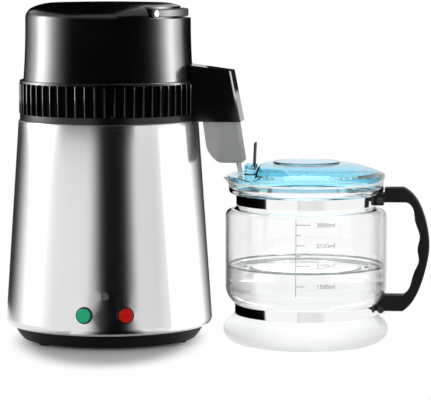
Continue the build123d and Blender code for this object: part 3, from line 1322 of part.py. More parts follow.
# The filter basket's side outline, drawn in by a wall and starting at a floor height
def basket_outline(inset, floor, top):
    front_slope = (BASKET_NOSE_REACH - BASKET_FRONT_REACH) / (SPOUT_BOTTOM - BASKET_NOSE_HEIGHT)
    curve_length = BASKET_BOTTOM_REACH - BASKET_BACK_REACH
    back_x = BASKET_BACK_REACH + BASKET_SHOULDER_REACH_SHARE * curve_length
    back_z = BASKET_BOTTOM + BASKET_SHOULDER_TALL_SHARE * BASKET_TALL
    mid_x = BASKET_BACK_REACH + BASKET_CURVE_REACH_SHARE * curve_length
    mid_z = BASKET_BOTTOM + BASKET_CURVE_TALL_SHARE * BASKET_TALL
    with BuildSketch(Plane.XY) as outline:
        with BuildLine():
            Polyline(
                (BASKET_BOTTOM_REACH + inset, floor),
                (BASKET_NOSE_REACH - inset - BASKET_FLOOR / 2, floor),
                (BASKET_NOSE_REACH - inset, floor + BASKET_FLOOR / 2),
                (BASKET_NOSE_REACH - inset - front_slope * (top - BASKET_NOSE_HEIGHT), top),
                (BASKET_BACK_REACH + inset, top),
                (back_x + inset, back_z),
            )
            Spline(
                (back_x + inset, back_z),
                (mid_x + inset, mid_z + inset / 2),
                (BASKET_BOTTOM_REACH + inset, floor),
                tangents=[(0, -1), (1, 0)],
                tangent_scalars=[1, 1],
            )
        make_face()
    return outline.sketch_local


nozzle_lean = math.radians(NOZZLE_TILT)
nozzle_dir = spout_dir * math.sin(nozzle_lean) - Vector(0, 0, math.cos(nozzle_lean))
nozzle_tip = Vector(BODY_X, BODY_Y, NOZZLE_TIP_HEIGHT) + spout_dir * NOZZLE_TIP_REACH
nozzle_plane = Plane(nozzle_tip, x_dir=(-spout_sin, -spout_cos, 0), z_dir=-nozzle_dir)
nozzle_length = (BASKET_BOTTOM + NOZZLE_SOCKET - NOZZLE_TIP_HEIGHT) / math.cos(nozzle_lean)
basket_inner = BASKET_WIDTH / 2 - BASKET_WALL
basket_cavity_floor = BASKET_BOTTOM + BASKET_FLOOR
with BuildPart() as filter_basket:
    with BuildSketch(spout_side):
        add(basket_outline(0, BASKET_BOTTOM, SPOUT_BOTTOM - FACE_GAP))
    extrude(amount=BASKET_WIDTH / 2, both=True)
    with BuildSketch(spout_top.offset(SPOUT_BOTTOM - FACE_GAP)):
        with Locations((neck_mid, 0)):
            Rectangle(neck_length, BASKET_NECK_WIDTH)
    extrude(amount=BASKET_NECK_TALL)
    with BuildSketch(spout_side):
        add(basket_outline(BASKET_WALL, basket_cavity_floor, SPOUT_BOTTOM - BASKET_WALL - FACE_GAP))
    extrude(amount=basket_inner, both=True, mode=Mode.SUBTRACT)
    with BuildSketch(spout_top.offset(SPOUT_BOTTOM - BASKET_WALL - FACE_GAP - SEAT_GAP)):
        with Locations((neck_mid, 0)):
            Rectangle(neck_length - 2 * BASKET_WALL, BASKET_NECK_WIDTH - 2 * BASKET_WALL)
    extrude(amount=BASKET_NECK_TALL + BASKET_WALL + CUT_OVERRUN, mode=Mode.SUBTRACT)
    with BuildSketch(nozzle_plane):
        Circle(NOZZLE_RADIUS + RUNNING_GAP)
    extrude(amount=nozzle_length + CUT_OVERRUN / 2, mode=Mode.SUBTRACT)
filter_basket.part.label = "filter_basket"
export_step(filter_basket.part, "parts/filter_basket.step")

with BuildPart() as drip_nozzle:
    with BuildSketch(nozzle_plane):
        Circle(NOZZLE_RADIUS)
        Circle(NOZZLE_BORE, mode=Mode.SUBTRACT)
    extrude(amount=nozzle_length)
drip_nozzle.part.label = "drip_nozzle"
export_step(drip_nozzle.part, "parts/drip_nozzle.step")

# Charcoal sachet: a soft pad that fills the basket above its floor
sachet_bottom = basket_cavity_floor + SACHET_EDGE + FACE_GAP
with BuildPart() as carbon_sachet:
    with BuildSketch(spout_side):
        add(basket_outline(BASKET_WALL + SACHET_INSET, sachet_bottom, SACHET_TOP))
    extrude(amount=basket_inner - SACHET_INSET, both=True)
carbon_sachet.part.label = "carbon_sachet"
export_step(carbon_sachet.part, "parts/carbon_sachet.step")


# The carafe's glass outline from its base to its rim, drawn in by a wall
def glass_outline(inset, floor, top):
    neck_top = UPPER_BAND_BOTTOM + BAND_TALL
    lower_top = LOWER_BAND_BOTTOM + BAND_TALL
    shoulder_radius = GLASS_BODY_RADIUS - SHOULDER_RADIUS - inset / 2
    shoulder_height = GLASS_BODY_TOP + SHOULDER_RADIUS - inset / 2
    with BuildSketch(Plane.XY) as outline:
        with BuildLine():
            Line((0, floor), (GLASS_BASE_RADIUS - inset, floor))
            TangentArc(
                (GLASS_BASE_RADIUS - inset, floor),
                (BULGE_RADIUS - inset, BULGE_HEIGHT),
                tangent=(1, 0),
            )
            TangentArc(
                (BULGE_RADIUS - inset, BULGE_HEIGHT),
                (BULGE_TOP_RADIUS - inset, BULGE_TOP_HEIGHT - inset),
                tangent=(0, 1),
            )
            Polyline(
                (BULGE_TOP_RADIUS - inset, BULGE_TOP_HEIGHT - inset),
                (LOWER_NECK_RADIUS - inset, LOWER_BAND_BOTTOM - inset),
                (LOWER_NECK_RADIUS - inset, lower_top),
            )
            TangentArc(
                (GLASS_BODY_RADIUS - inset, GLASS_BODY_BOTTOM),
                (LOWER_NECK_RADIUS - inset, lower_top),
                tangent=(0, -1),
            )
            Line(
                (GLASS_BODY_RADIUS - inset, GLASS_BODY_BOTTOM),
                (GLASS_BODY_RADIUS - inset, GLASS_BODY_TOP),
            )
            TangentArc(
                (GLASS_BODY_RADIUS - inset, GLASS_BODY_TOP),
                (shoulder_radius, shoulder_height),
                tangent=(0, 1),
            )
            TangentArc(
                (shoulder_radius, shoulder_height),
                (UPPER_NECK_RADIUS - inset, UPPER_BAND_BOTTOM),
                tangent=(-1, 0),
            )
            Polyline(
                (UPPER_NECK_RADIUS - inset, UPPER_BAND_BOTTOM),
                (UPPER_NECK_RADIUS - inset, neck_top),
                (COLLAR_RADIUS - COLLAR_CURVE - inset, neck_top + COLLAR_STEP + inset),
            )
            TangentArc(
                (COLLAR_RADIUS - inset, COLLAR_BOTTOM + inset),
                (COLLAR_RADIUS - COLLAR_CURVE - inset, neck_top + COLLAR_STEP + inset),
                tangent=(0, -1),
            )
            Line((COLLAR_RADIUS - inset, COLLAR_BOTTOM + inset), (COLLAR_RADIUS - inset, top))
            Line((COLLAR_RADIUS - inset, top), (0, top))
            Line((0, top), (0, floor))
        make_face()
    return outline.sketch_local


lip_centre = -(LIP_REACH - LIP_RADIUS)
with BuildPart() as carafe_glass:
    with BuildSketch(carafe_side):
        add(glass_outline(0, 0, GLASS_TOP))
    revolve(axis=carafe_axis)
    with BuildSketch(carafe_top.offset(LIP_BOTTOM)):
        with Locations((lip_centre, 0)):
            Circle(LIP_BOTTOM_RADIUS)
    with BuildSketch(carafe_top.offset(GLASS_TOP)):
        with Locations((lip_centre, 0)):
            Circle(LIP_RADIUS)
    loft(ruled=True)
    with BuildSketch(carafe_side):
        add(glass_outline(GLASS_WALL, GLASS_FLOOR, GLASS_TOP + CUT_OVERRUN))
    revolve(axis=carafe_axis, mode=Mode.SUBTRACT)
    with BuildSketch(carafe_top.offset(LIP_BOTTOM + GLASS_WALL)):
        with Locations((lip_centre, 0)):
            Circle(LIP_BOTTOM_RADIUS - GLASS_WALL / 2)
    with BuildSketch(carafe_top.offset(GLASS_TOP + SEAT_GAP)):
        with Locations((lip_centre, 0)):
            Circle(LIP_RADIUS - GLASS_WALL)
    loft(ruled=True, mode=Mode.SUBTRACT)
carafe_glass.part.label = "carafe_glass"
export_step(carafe_glass.part, "parts/carafe_glass.step")

# Steel bands round the two necks, each closed by a pair of ears inside the handle's arm
for name, neck, bottom in (
    ("upper_band", UPPER_NECK_RADIUS, UPPER_BAND_BOTTOM),
    ("lower_band", LOWER_NECK_RADIUS, LOWER_BAND_BOTTOM),
):
    band_inner_radius = neck + SEAT_GAP / 2
    band_outer_radius = band_inner_radius + BAND_THICKNESS
    ear_end = band_outer_radius + EAR_LENGTH
    with BuildPart() as band:
        with BuildSketch(carafe_top.offset(bottom)):
            Circle(band_outer_radius)
            with Locations((ear_end / 2, 0)):
                Rectangle(ear_end, EAR_GAP + 2 * BAND_THICKNESS)
            Circle(band_inner_radius, mode=Mode.SUBTRACT)
            with Locations((ear_end, 0)):
                Rectangle(4 * EAR_LENGTH, EAR_GAP, mode=Mode.SUBTRACT)
        extrude(amount=BAND_TALL)
        with BuildSketch(carafe_side):
            with Locations((ear_end - EAR_LENGTH / 2 + SEAT_GAP, bottom + BAND_TALL / 2)):
                Circle(BAND_SCREW_RADIUS + SEAT_GAP)
        extrude(amount=HANDLE_WIDTH, both=True, mode=Mode.SUBTRACT)
    band.part.label = name
    export_step(band.part, "parts/" + name + ".step")

# Carafe handle: the back is an arc, the grip side has three finger swells
upper_band_outer = UPPER_NECK_RADIUS + SEAT_GAP / 2 + BAND_THICKNESS
lower_band_outer = LOWER_NECK_RADIUS + SEAT_GAP / 2 + BAND_THICKNESS
upper_screw_reach = upper_band_outer + EAR_LENGTH / 2 + SEAT_GAP
lower_screw_reach = lower_band_outer + EAR_LENGTH / 2 + SEAT_GAP
band_mid = BAND_TALL / 2
grip_reach_shares = [0.850, 0.876, 0.886, 0.925, 0.908, 0.919, 0.880, 0.860, 0.835]
grip_height_shares = [0.862, 0.810, 0.735, 0.600, 0.505, 0.415, 0.310, 0.245, 0.170]
handle_tall = HANDLE_TOP - HANDLE_BOTTOM
grip_points = [
    (HANDLE_REACH * reach, HANDLE_BOTTOM + handle_tall * height)
    for reach, height in zip(grip_reach_shares, grip_height_shares)
]
back_reach_shares = [0.870, 0.925, 0.975, 1.000, 0.994, 0.950, 0.880]
back_height_shares = [0.080, 0.185, 0.345, 0.500, 0.620, 0.800, 0.930]
back_points = [
    (HANDLE_REACH * reach, HANDLE_BOTTOM + handle_tall * height)
    for reach, height in zip(back_reach_shares, back_height_shares)
]
arm_reach_share = 0.790
upper_arm_reach = HANDLE_REACH * arm_reach_share
lower_arm_reach = HANDLE_REACH * arm_reach_share
with BuildPart() as carafe_handle:
    with BuildSketch(carafe_side):
        with BuildLine():
            Polyline(
                (upper_arm_reach, HANDLE_TOP),
                (HANDLE_UPPER_START, HANDLE_TOP - FACE_GAP),
                (HANDLE_UPPER_START, HANDLE_FOOT_TOP),
                (UPPER_NECK_RADIUS, HANDLE_FOOT_TOP),
                (UPPER_NECK_RADIUS, HANDLE_FOOT_BOTTOM),
                (HANDLE_FOOT_REACH, HANDLE_FOOT_BOTTOM),
                (HANDLE_FOOT_REACH, HANDLE_UPPER_ARM),
                (upper_arm_reach, HANDLE_UPPER_ARM),
            )
            Spline((upper_arm_reach, HANDLE_UPPER_ARM), *grip_points, (lower_arm_reach, HANDLE_LOWER_ARM))
            Polyline(
                (lower_arm_reach, HANDLE_LOWER_ARM),
                (HANDLE_LOWER_START, HANDLE_LOWER_ARM),
                (LOWER_NECK_RADIUS, LOWER_BAND_BOTTOM + BAND_TALL),
                (LOWER_NECK_RADIUS, HANDLE_BOTTOM),
                (lower_arm_reach, HANDLE_BOTTOM),
            )
            Spline((lower_arm_reach, HANDLE_BOTTOM), *back_points, (upper_arm_reach, HANDLE_TOP))
        make_face()
    extrude(amount=HANDLE_WIDTH / 2, both=True)
    grip_edges = carafe_handle.edges().filter_by(
        lambda edge: (edge.center() - carafe_side.origin).dot(spout_dir) > HANDLE_UPPER_START + HANDLE_FILLET
        and abs(abs((edge.center() - carafe_side.origin).dot(carafe_side.z_dir)) - HANDLE_WIDTH / 2) < SEAT_GAP
    )
    fillet(grip_edges, HANDLE_FILLET)
    with BuildSketch(carafe_top):
        Circle(upper_band_outer + SEAT_GAP / 2)
    extrude(amount=GLASS_TOP, mode=Mode.SUBTRACT)
    with BuildSketch(carafe_top):
        Circle(lower_band_outer + SEAT_GAP / 2)
    extrude(amount=HANDLE_LOWER_ARM + CUT_OVERRUN, mode=Mode.SUBTRACT)
    with BuildSketch(carafe_side):
        add(glass_outline(-FACE_GAP, 0, GLASS_TOP))
    revolve(axis=carafe_axis, mode=Mode.SUBTRACT)
    for reach, bottom in (
        (upper_band_outer, UPPER_BAND_BOTTOM),
        (lower_band_outer, LOWER_BAND_BOTTOM),
    ):
        slot_length = EAR_LENGTH + HANDLE_SLOT_GAP + CUT_OVERRUN
        slot_tall = BAND_TALL + 2 * HANDLE_SLOT_GAP
        with BuildSketch(carafe_side):
            with Locations((reach - CUT_OVERRUN, bottom - HANDLE_SLOT_GAP)):
                Rectangle(slot_length, slot_tall, align=(Align.MIN, Align.MIN))
        extrude(amount=EAR_GAP / 2 + BAND_THICKNESS + SEAT_GAP, both=True, mode=Mode.SUBTRACT)
    for reach, bottom in (
        (upper_screw_reach, UPPER_BAND_BOTTOM),
        (lower_screw_reach, LOWER_BAND_BOTTOM),
    ):
        with BuildSketch(carafe_side.offset(BAND_SCREW_WEB - HANDLE_WIDTH / 2)):
            with Locations((reach, bottom + band_mid)):
                Circle(BAND_SCREW_RADIUS + SEAT_GAP)
        extrude(amount=HANDLE_WIDTH, mode=Mode.SUBTRACT)
        with BuildSketch(carafe_side.offset(HANDLE_WIDTH / 2 - BAND_SCREW_HEAD)):
            with Locations((reach, bottom + band_mid)):
                Circle(BAND_SCREW_HEAD_RADIUS + SEAT_GAP)
        extrude(amount=BAND_SCREW_HEAD + CUT_OVERRUN, mode=Mode.SUBTRACT)
carafe_handle.part.label = "carafe_handle"
export_step(carafe_handle.part, "parts/carafe_handle.step")

with BuildPart() as band_screws:
    for reach, bottom in (
        (upper_screw_reach, UPPER_BAND_BOTTOM),
        (lower_screw_reach, LOWER_BAND_BOTTOM),
    ):
        with BuildSketch(carafe_side.offset(HANDLE_WIDTH / 2 - BAND_SCREW_HEAD)):
            with Locations((reach, bottom + band_mid)):
                Circle(BAND_SCREW_HEAD_RADIUS)
        extrude(amount=BAND_SCREW_HEAD - BAND_SCREW_SINK)
        with BuildSketch(carafe_side.offset(HANDLE_WIDTH / 2 - BAND_SCREW_HEAD)):
            with Locations((reach, bottom + band_mid)):
                Circle(BAND_SCREW_RADIUS)
        extrude(amount=-BAND_SCREW_LENGTH)
band_screws.part.label = "band_screws"
export_step(band_screws.part, "parts/band_screws.step")

# The carafe lid's filled outline, lowered by a wall and reaching down to a bottom
def lid_outline(drop, bottom):
    chord_mid = (LID_KNOB_RADIUS + LID_RIM_RADIUS) / 2
    crest = (LID_DOME_HEIGHT + LID_RIM_TOP) / 2 + LID_DOME_BULGE
    with BuildSketch(Plane.XY) as outline:
        with BuildLine():
            Polyline(
                (LID_KNOB_RADIUS, LID_DOME_HEIGHT - drop),
                (LID_KNOB_RADIUS, LID_KNOB_TOP - drop - LID_KNOB_FILLET),
                (LID_KNOB_RADIUS - LID_KNOB_FILLET, LID_KNOB_TOP - drop),
                (0, LID_KNOB_TOP - drop),
                (0, bottom),
                (LID_RIM_RADIUS, bottom),
                (LID_RIM_RADIUS, LID_RIM_TOP - drop),
            )
            ThreePointArc(
                (LID_KNOB_RADIUS, LID_DOME_HEIGHT - drop),
                (chord_mid, crest - drop),
                (LID_RIM_RADIUS, LID_RIM_TOP - drop),
            )
        make_face()
    return outline.sketch_local


# Carafe lid: a dome with a low round knob, cut flat beyond a chord where the inlet hole is
lid_bottom = GLASS_TOP + FACE_GAP
bracket_mid = -(BRACKET_INNER_REACH + BRACKET_OUTER_REACH) / 2
bracket_length = BRACKET_OUTER_REACH - BRACKET_INNER_REACH
skirt_inner = LID_SKIRT_RADIUS - LID_SKIRT_WALL
knuckle_floor = FLAP_PIVOT_HEIGHT - FLAP_KNUCKLE_RADIUS - FACE_GAP
chord_overrun = LID_RIM_RADIUS + CUT_OVERRUN
with BuildPart() as lid_hollow:
    with BuildSketch(carafe_side):
        add(lid_outline(LID_WALL, LID_SKIRT_BOTTOM - CUT_OVERRUN))
    revolve(axis=carafe_axis)
    with BuildSketch(carafe_top.offset(LID_SKIRT_BOTTOM - CUT_OVERRUN)):
        Circle(skirt_inner)
    extrude(amount=LID_KNOB_TOP, mode=Mode.INTERSECT)
    with BuildSketch(carafe_top.offset(lid_bottom)):
        with Locations((-LID_CHORD_REACH + LID_WALL, 0)):
            Rectangle(chord_overrun, 2 * chord_overrun, align=(Align.MAX, Align.CENTER))
    extrude(amount=LID_KNOB_TOP, mode=Mode.SUBTRACT)
with BuildPart() as carafe_lid:
    with BuildSketch(carafe_side):
        add(lid_outline(0, lid_bottom))
    revolve(axis=carafe_axis)
    with BuildSketch(carafe_top.offset(lid_bottom)):
        Circle(LID_SKIRT_RADIUS)
    extrude(amount=LID_SKIRT_BOTTOM - lid_bottom)
    add(lid_hollow.part, mode=Mode.SUBTRACT)
    with BuildSketch(carafe_top.offset(LID_FLOOR_TOP)):
        with Locations((-LID_CHORD_REACH, 0)):
            Rectangle(chord_overrun, 2 * chord_overrun, align=(Align.MAX, Align.CENTER))
    extrude(amount=LID_KNOB_TOP - LID_FLOOR_TOP + CUT_OVERRUN, mode=Mode.SUBTRACT)
    with BuildSketch(carafe_top.offset(LID_FLOOR_TOP)):
        with Locations((bracket_mid, 0)):
            with GridLocations(0, BRACKET_PEG_PITCH, 1, 2):
                Circle(BRACKET_PEG_RADIUS + RUNNING_GAP)
    extrude(amount=-BRACKET_PEG_LENGTH - SEAT_GAP, mode=Mode.SUBTRACT)
    with BuildSketch(carafe_top.offset(LID_FLOOR_TOP)):
        with Locations((-LID_HOLE_REACH, 0)):
            Circle(LID_HOLE_RADIUS)
    extrude(amount=-LID_FLOOR_TALL - FACE_GAP, mode=Mode.SUBTRACT)
    with BuildSketch(Plane(carafe_side.origin, x_dir=carafe_side.z_dir, z_dir=-spout_dir)):
        for slot in range(STRAINER_SLOTS):
            place = (slot - (STRAINER_SLOTS - 1) / 2) * STRAINER_STEP
            with Locations((place, LID_SKIRT_BOTTOM + STRAINER_SLOT_TALL / 2 + LID_SKIRT_WALL / 2)):
                Rectangle(STRAINER_SLOT_WIDTH, STRAINER_SLOT_TALL)
    extrude(amount=LID_RIM_RADIUS, mode=Mode.SUBTRACT)
    with BuildSketch(carafe_side):
        with Locations((LID_SKIRT_RADIUS, SEAL_HEIGHT)):
            Rectangle(2 * SEAL_GROOVE_DEPTH, 2 * SEAL_GROOVE_DEPTH + SEAT_GAP)
    revolve(axis=carafe_axis, mode=Mode.SUBTRACT)
carafe_lid.part.label = "carafe_lid"
export_step(carafe_lid.part, "parts/carafe_lid.step")

# Flap bracket: stands on the lid's floor by two pegs and carries the flap's pin
with BuildPart() as flap_bracket:
    with BuildSketch(carafe_top.offset(LID_FLOOR_TOP)):
        with Locations((bracket_mid, 0)):
            RectangleRounded(bracket_length, BRACKET_SPAN, BRACKET_CORNER)
    extrude(amount=BRACKET_TALL)
    with BuildSketch(carafe_top.offset(LID_FLOOR_TOP)):
        with Locations((bracket_mid, 0)):
            with GridLocations(0, BRACKET_PEG_PITCH, 1, 2):
                Circle(BRACKET_PEG_RADIUS)
    extrude(amount=-BRACKET_PEG_LENGTH)
    with BuildSketch(carafe_side):
        with BuildLine():
            Polyline(
                (-BRACKET_INNER_REACH + CUT_OVERRUN, BRACKET_TOP + CUT_OVERRUN),
                (-BRACKET_INNER_REACH + CUT_OVERRUN, knuckle_floor),
                (-FLAP_PIVOT_REACH - FLAP_KNUCKLE_RADIUS - FACE_GAP, knuckle_floor),
                (-BRACKET_OUTER_REACH - CUT_OVERRUN, FLAP_PIVOT_HEIGHT - FACE_GAP),
                (-BRACKET_OUTER_REACH - CUT_OVERRUN, BRACKET_TOP + CUT_OVERRUN),
                close=True,
            )
        make_face()
    extrude(amount=FLAP_WIDTH / 2 + FACE_GAP, both=True, mode=Mode.SUBTRACT)
    with BuildSketch(carafe_side):
        with Locations((-FLAP_PIVOT_REACH, FLAP_PIVOT_HEIGHT)):
            Circle(FLAP_PIN_RADIUS)
    extrude(amount=BRACKET_SPAN, both=True, mode=Mode.SUBTRACT)
flap_bracket.part.label = "flap_bracket"
export_step(flap_bracket.part, "parts/flap_bracket.step")

collar_inner = COLLAR_RADIUS - GLASS_WALL
with BuildPart() as lid_seal:
    with BuildSketch(carafe_side):
        with Locations((LID_SKIRT_RADIUS - SEAL_GROOVE_DEPTH, SEAL_HEIGHT)):
            Rectangle(
                collar_inner - SEAT_GAP - LID_SKIRT_RADIUS + SEAL_GROOVE_DEPTH,
                2 * SEAL_GROOVE_DEPTH,
                align=(Align.MIN, Align.CENTER),
            )
    revolve(axis=carafe_axis)
lid_seal.part.label = "lid_seal"
export_step(lid_seal.part, "parts/lid_seal.step")

with BuildPart() as flap_pin:
    with BuildSketch(carafe_side):
        with Locations((-FLAP_PIVOT_REACH, FLAP_PIVOT_HEIGHT)):
            Circle(FLAP_PIN_RADIUS)
    extrude(amount=BRACKET_SPAN / 2, both=True)
flap_pin.part.label = "flap_pin"
export_step(flap_pin.part, "parts/flap_pin.step")

# Inlet flap: stands open behind the nozzle, leaning a little towards the knob
with BuildPart() as inlet_flap:
    with BuildSketch(carafe_side):
        with Locations((-FLAP_PIVOT_REACH, FLAP_PIVOT_HEIGHT)):
            Circle(FLAP_KNUCKLE_RADIUS)
            with Locations(Location((0, 0, 0), (0, 0, -FLAP_LEAN))):
                Rectangle(FLAP_THICKNESS, FLAP_LENGTH, align=(Align.CENTER, Align.MIN))
            Circle(FLAP_PIN_RADIUS + RUNNING_GAP, mode=Mode.SUBTRACT)
    extrude(amount=FLAP_WIDTH / 2, both=True)
inlet_flap.part.label = "inlet_flap"
export_step(inlet_flap.part, "parts/inlet_flap.step")
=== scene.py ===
"""Looks for the countertop water distiller and its glass carafe, in metres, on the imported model."""

import json
import math

import bmesh
import bpy
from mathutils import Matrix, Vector


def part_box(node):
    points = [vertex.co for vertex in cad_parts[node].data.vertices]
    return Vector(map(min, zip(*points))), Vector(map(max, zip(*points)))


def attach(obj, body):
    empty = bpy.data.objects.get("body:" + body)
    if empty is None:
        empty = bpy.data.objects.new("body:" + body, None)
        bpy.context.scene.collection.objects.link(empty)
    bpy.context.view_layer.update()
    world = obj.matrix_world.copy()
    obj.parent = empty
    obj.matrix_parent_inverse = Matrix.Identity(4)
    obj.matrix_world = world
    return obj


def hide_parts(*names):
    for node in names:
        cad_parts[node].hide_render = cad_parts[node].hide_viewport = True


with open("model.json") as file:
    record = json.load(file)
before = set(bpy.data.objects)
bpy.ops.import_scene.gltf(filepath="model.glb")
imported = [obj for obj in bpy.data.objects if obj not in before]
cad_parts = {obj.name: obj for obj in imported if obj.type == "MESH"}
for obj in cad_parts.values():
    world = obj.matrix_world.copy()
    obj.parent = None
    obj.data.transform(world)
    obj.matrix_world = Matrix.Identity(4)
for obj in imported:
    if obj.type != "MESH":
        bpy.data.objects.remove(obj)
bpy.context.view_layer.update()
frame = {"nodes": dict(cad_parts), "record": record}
nodes = frame["nodes"]
scene = bpy.context.scene


# ---------------------------------------------------------------- places
def middle(name):
    """The middle of a piece's box, as the frame gives it."""
    low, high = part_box(name)
    return (low + high) / 2


# The axes of the boiler and the carafe, and the way the spout points
BODY = middle("base_tray").xy.to_3d()
CARAFE = middle("carafe_lid").xy.to_3d()
SPOUT_TURN = math.radians(7)
OUT = Vector((math.cos(SPOUT_TURN), -math.sin(SPOUT_TURN), 0))
ACROSS = Vector((-math.sin(SPOUT_TURN), -math.cos(SPOUT_TURN), 0))
UP = Vector((0, 0, 1))

# The camera matched to the photograph: metres, degrees below level, pixels and millimetres
CAMERA_SPOT = (-0.0013, -2.587, 0.409)
LOOK_DOWN = 5.71
FOCAL_PIXELS = 2400
PICTURE_WIDTH = 431
MIDDLE_ROW = 200
SENSOR_WIDTH = 36


# ---------------------------------------------------------------- node helpers
def new_material(name):
    made = bpy.data.materials.new(name)
    made.use_nodes = True
    tree = made.node_tree
    return made, tree, tree.nodes["Principled BSDF"]


def add(tree, kind, inputs=None, **settings):
    made = tree.nodes.new(kind)
    for key, value in settings.items():
        setattr(made, key, value)
    for key, value in (inputs or {}).items():
        made.inputs[key].default_value = value
    return made


def place(tree, stretch=(1, 1, 1), shift=(0, 0, 0)):
    """Object coordinates, stretched along the axes and then shifted."""
    coords = tree.nodes.new("ShaderNodeTexCoord")
    mapping = add(tree, "ShaderNodeMapping", {"Scale": stretch, "Location": shift})
    tree.links.new(coords.outputs["Object"], mapping.inputs["Vector"])
    return mapping.outputs["Vector"]


def noise(tree, scale, stretch=(1, 1, 1), detail=3.0, rough=0.55):
    made = add(tree, "ShaderNodeTexNoise", {"Scale": scale, "Detail": detail, "Roughness": rough})
    tree.links.new(place(tree, stretch), made.inputs["Vector"])
    return made.outputs["Fac"]


def spread(tree, source, low, high, start=0.3, end=0.7):
    made = add(tree, "ShaderNodeMapRange", {1: start, 2: end, 3: low, 4: high})
    tree.links.new(source, made.inputs["Value"])
    return made.outputs["Result"]


def tinted(tree, source, first, second, start=0.3, end=0.7):
    ramp = tree.nodes.new("ShaderNodeValToRGB")
    ramp.color_ramp.elements[0].position = start
    ramp.color_ramp.elements[1].position = end
    ramp.color_ramp.elements[0].color = (*first, 1)
    ramp.color_ramp.elements[1].color = (*second, 1)
    tree.links.new(source, ramp.inputs["Fac"])
    return ramp.outputs["Color"]


def bump(tree, source, strength, depth):
    made = add(tree, "ShaderNodeBump", {"Strength": strength, "Distance": depth})
    tree.links.new(source, made.inputs["Height"])
    return made.outputs["Normal"]


def shade(colour, share):
    return tuple(channel * share for channel in colour)


# ---------------------------------------------------------------- materials
def plastic(name, colour, rough, vary=0.12, grain=900, depth=0.00002, level=0.5, spread_rough=0.06):
    """Moulded plastic: a little cloudiness in colour and gloss over a fine moulded grain."""
    made, tree, bsdf = new_material(name)
    cloud = noise(tree, 22)
    fine = noise(tree, grain, detail=2)
    mixed = tinted(tree, cloud, shade(colour, 1 - vary), shade(colour, 1 + vary))
    tree.links.new(mixed, bsdf.inputs["Base Color"])
    gloss = spread(tree, cloud, rough - spread_rough, rough + spread_rough)
    tree.links.new(gloss, bsdf.inputs["Roughness"])
    tree.links.new(bump(tree, fine, 0.35, depth), bsdf.inputs["Normal"])
    bsdf.inputs["Specular IOR Level"].default_value = level
    return made


def brushed(
    name, colour, rough, stretch, anisotropic=0.0, turn=0.0, lines=0.25, depth=0.000012, worn=0.03
):
    """Brushed metal: long fine lines in gloss and height, and a faint cloud in colour."""
    made, tree, bsdf = new_material(name)
    bsdf.inputs["Metallic"].default_value = 1
    streak = noise(tree, 1, stretch, detail=4, rough=0.7)
    cloud = noise(tree, 16)
    tree.links.new(tinted(tree, cloud, shade(colour, 1 - worn), colour), bsdf.inputs["Base Color"])
    gloss = spread(tree, streak, rough * (1 - lines), rough * (1 + lines))
    tree.links.new(gloss, bsdf.inputs["Roughness"])
    tree.links.new(bump(tree, streak, 0.3, depth), bsdf.inputs["Normal"])
    if anisotropic:
        bsdf.inputs["Anisotropic"].default_value = anisotropic
        bsdf.inputs["Anisotropic Rotation"].default_value = turn
        tangent = add(tree, "ShaderNodeTangent", direction_type="RADIAL", axis="Z")
        tree.links.new(tangent.outputs["Tangent"], bsdf.inputs["Tangent"])
    return made


def cast(name, colour, rough, grain=260, depth=0.00006, metallic=1.0):
    """Cast, rolled or turned metal with a mottled surface."""
    made, tree, bsdf = new_material(name)
    bsdf.inputs["Metallic"].default_value = metallic
    cloud = noise(tree, 30)
    fine = noise(tree, grain, detail=4)
    tree.links.new(tinted(tree, cloud, shade(colour, 0.8), colour), bsdf.inputs["Base Color"])
    tree.links.new(spread(tree, fine, rough - 0.08, rough + 0.1), bsdf.inputs["Roughness"])
    tree.links.new(bump(tree, fine, 0.3, depth), bsdf.inputs["Normal"])
    return made


def let_lamps_through(tree, bsdf, tint):
    """Glass lets lamp light pass as tinted light, as thin glass does."""
    clear = add(tree, "ShaderNodeBsdfTransparent", {"Color": (*tint, 1)})
    path = tree.nodes.new("ShaderNodeLightPath")
    mix = tree.nodes.new("ShaderNodeMixShader")
    tree.links.new(path.outputs["Is Shadow Ray"], mix.inputs["Fac"])
    tree.links.new(bsdf.outputs["BSDF"], mix.inputs[1])
    tree.links.new(clear.outputs["BSDF"], mix.inputs[2])
    tree.links.new(mix.outputs["Shader"], tree.nodes["Material Output"].inputs["Surface"])


def glassy(name, colour, rough=0.0, ior=1.47, tint=(0.95, 0.96, 0.96), wave=0.0, level=0.5):
    made, tree, bsdf = new_material(name)
    bsdf.inputs["Transmission Weight"].default_value = 1
    bsdf.inputs["IOR"].default_value = ior
    bsdf.inputs["Specular IOR Level"].default_value = level
    cloud = noise(tree, 14)
    tree.links.new(tinted(tree, cloud, shade(colour, 0.985), colour), bsdf.inputs["Base Color"])
    tree.links.new(spread(tree, cloud, rough, rough + 0.01), bsdf.inputs["Roughness"])
    if wave:
        tree.links.new(bump(tree, noise(tree, 40, detail=1), 0.2, wave), bsdf.inputs["Normal"])
    let_lamps_through(tree, bsdf, tint)
    return made


FROST_NONE, FROST_FULL = 0.0335, 0.0295


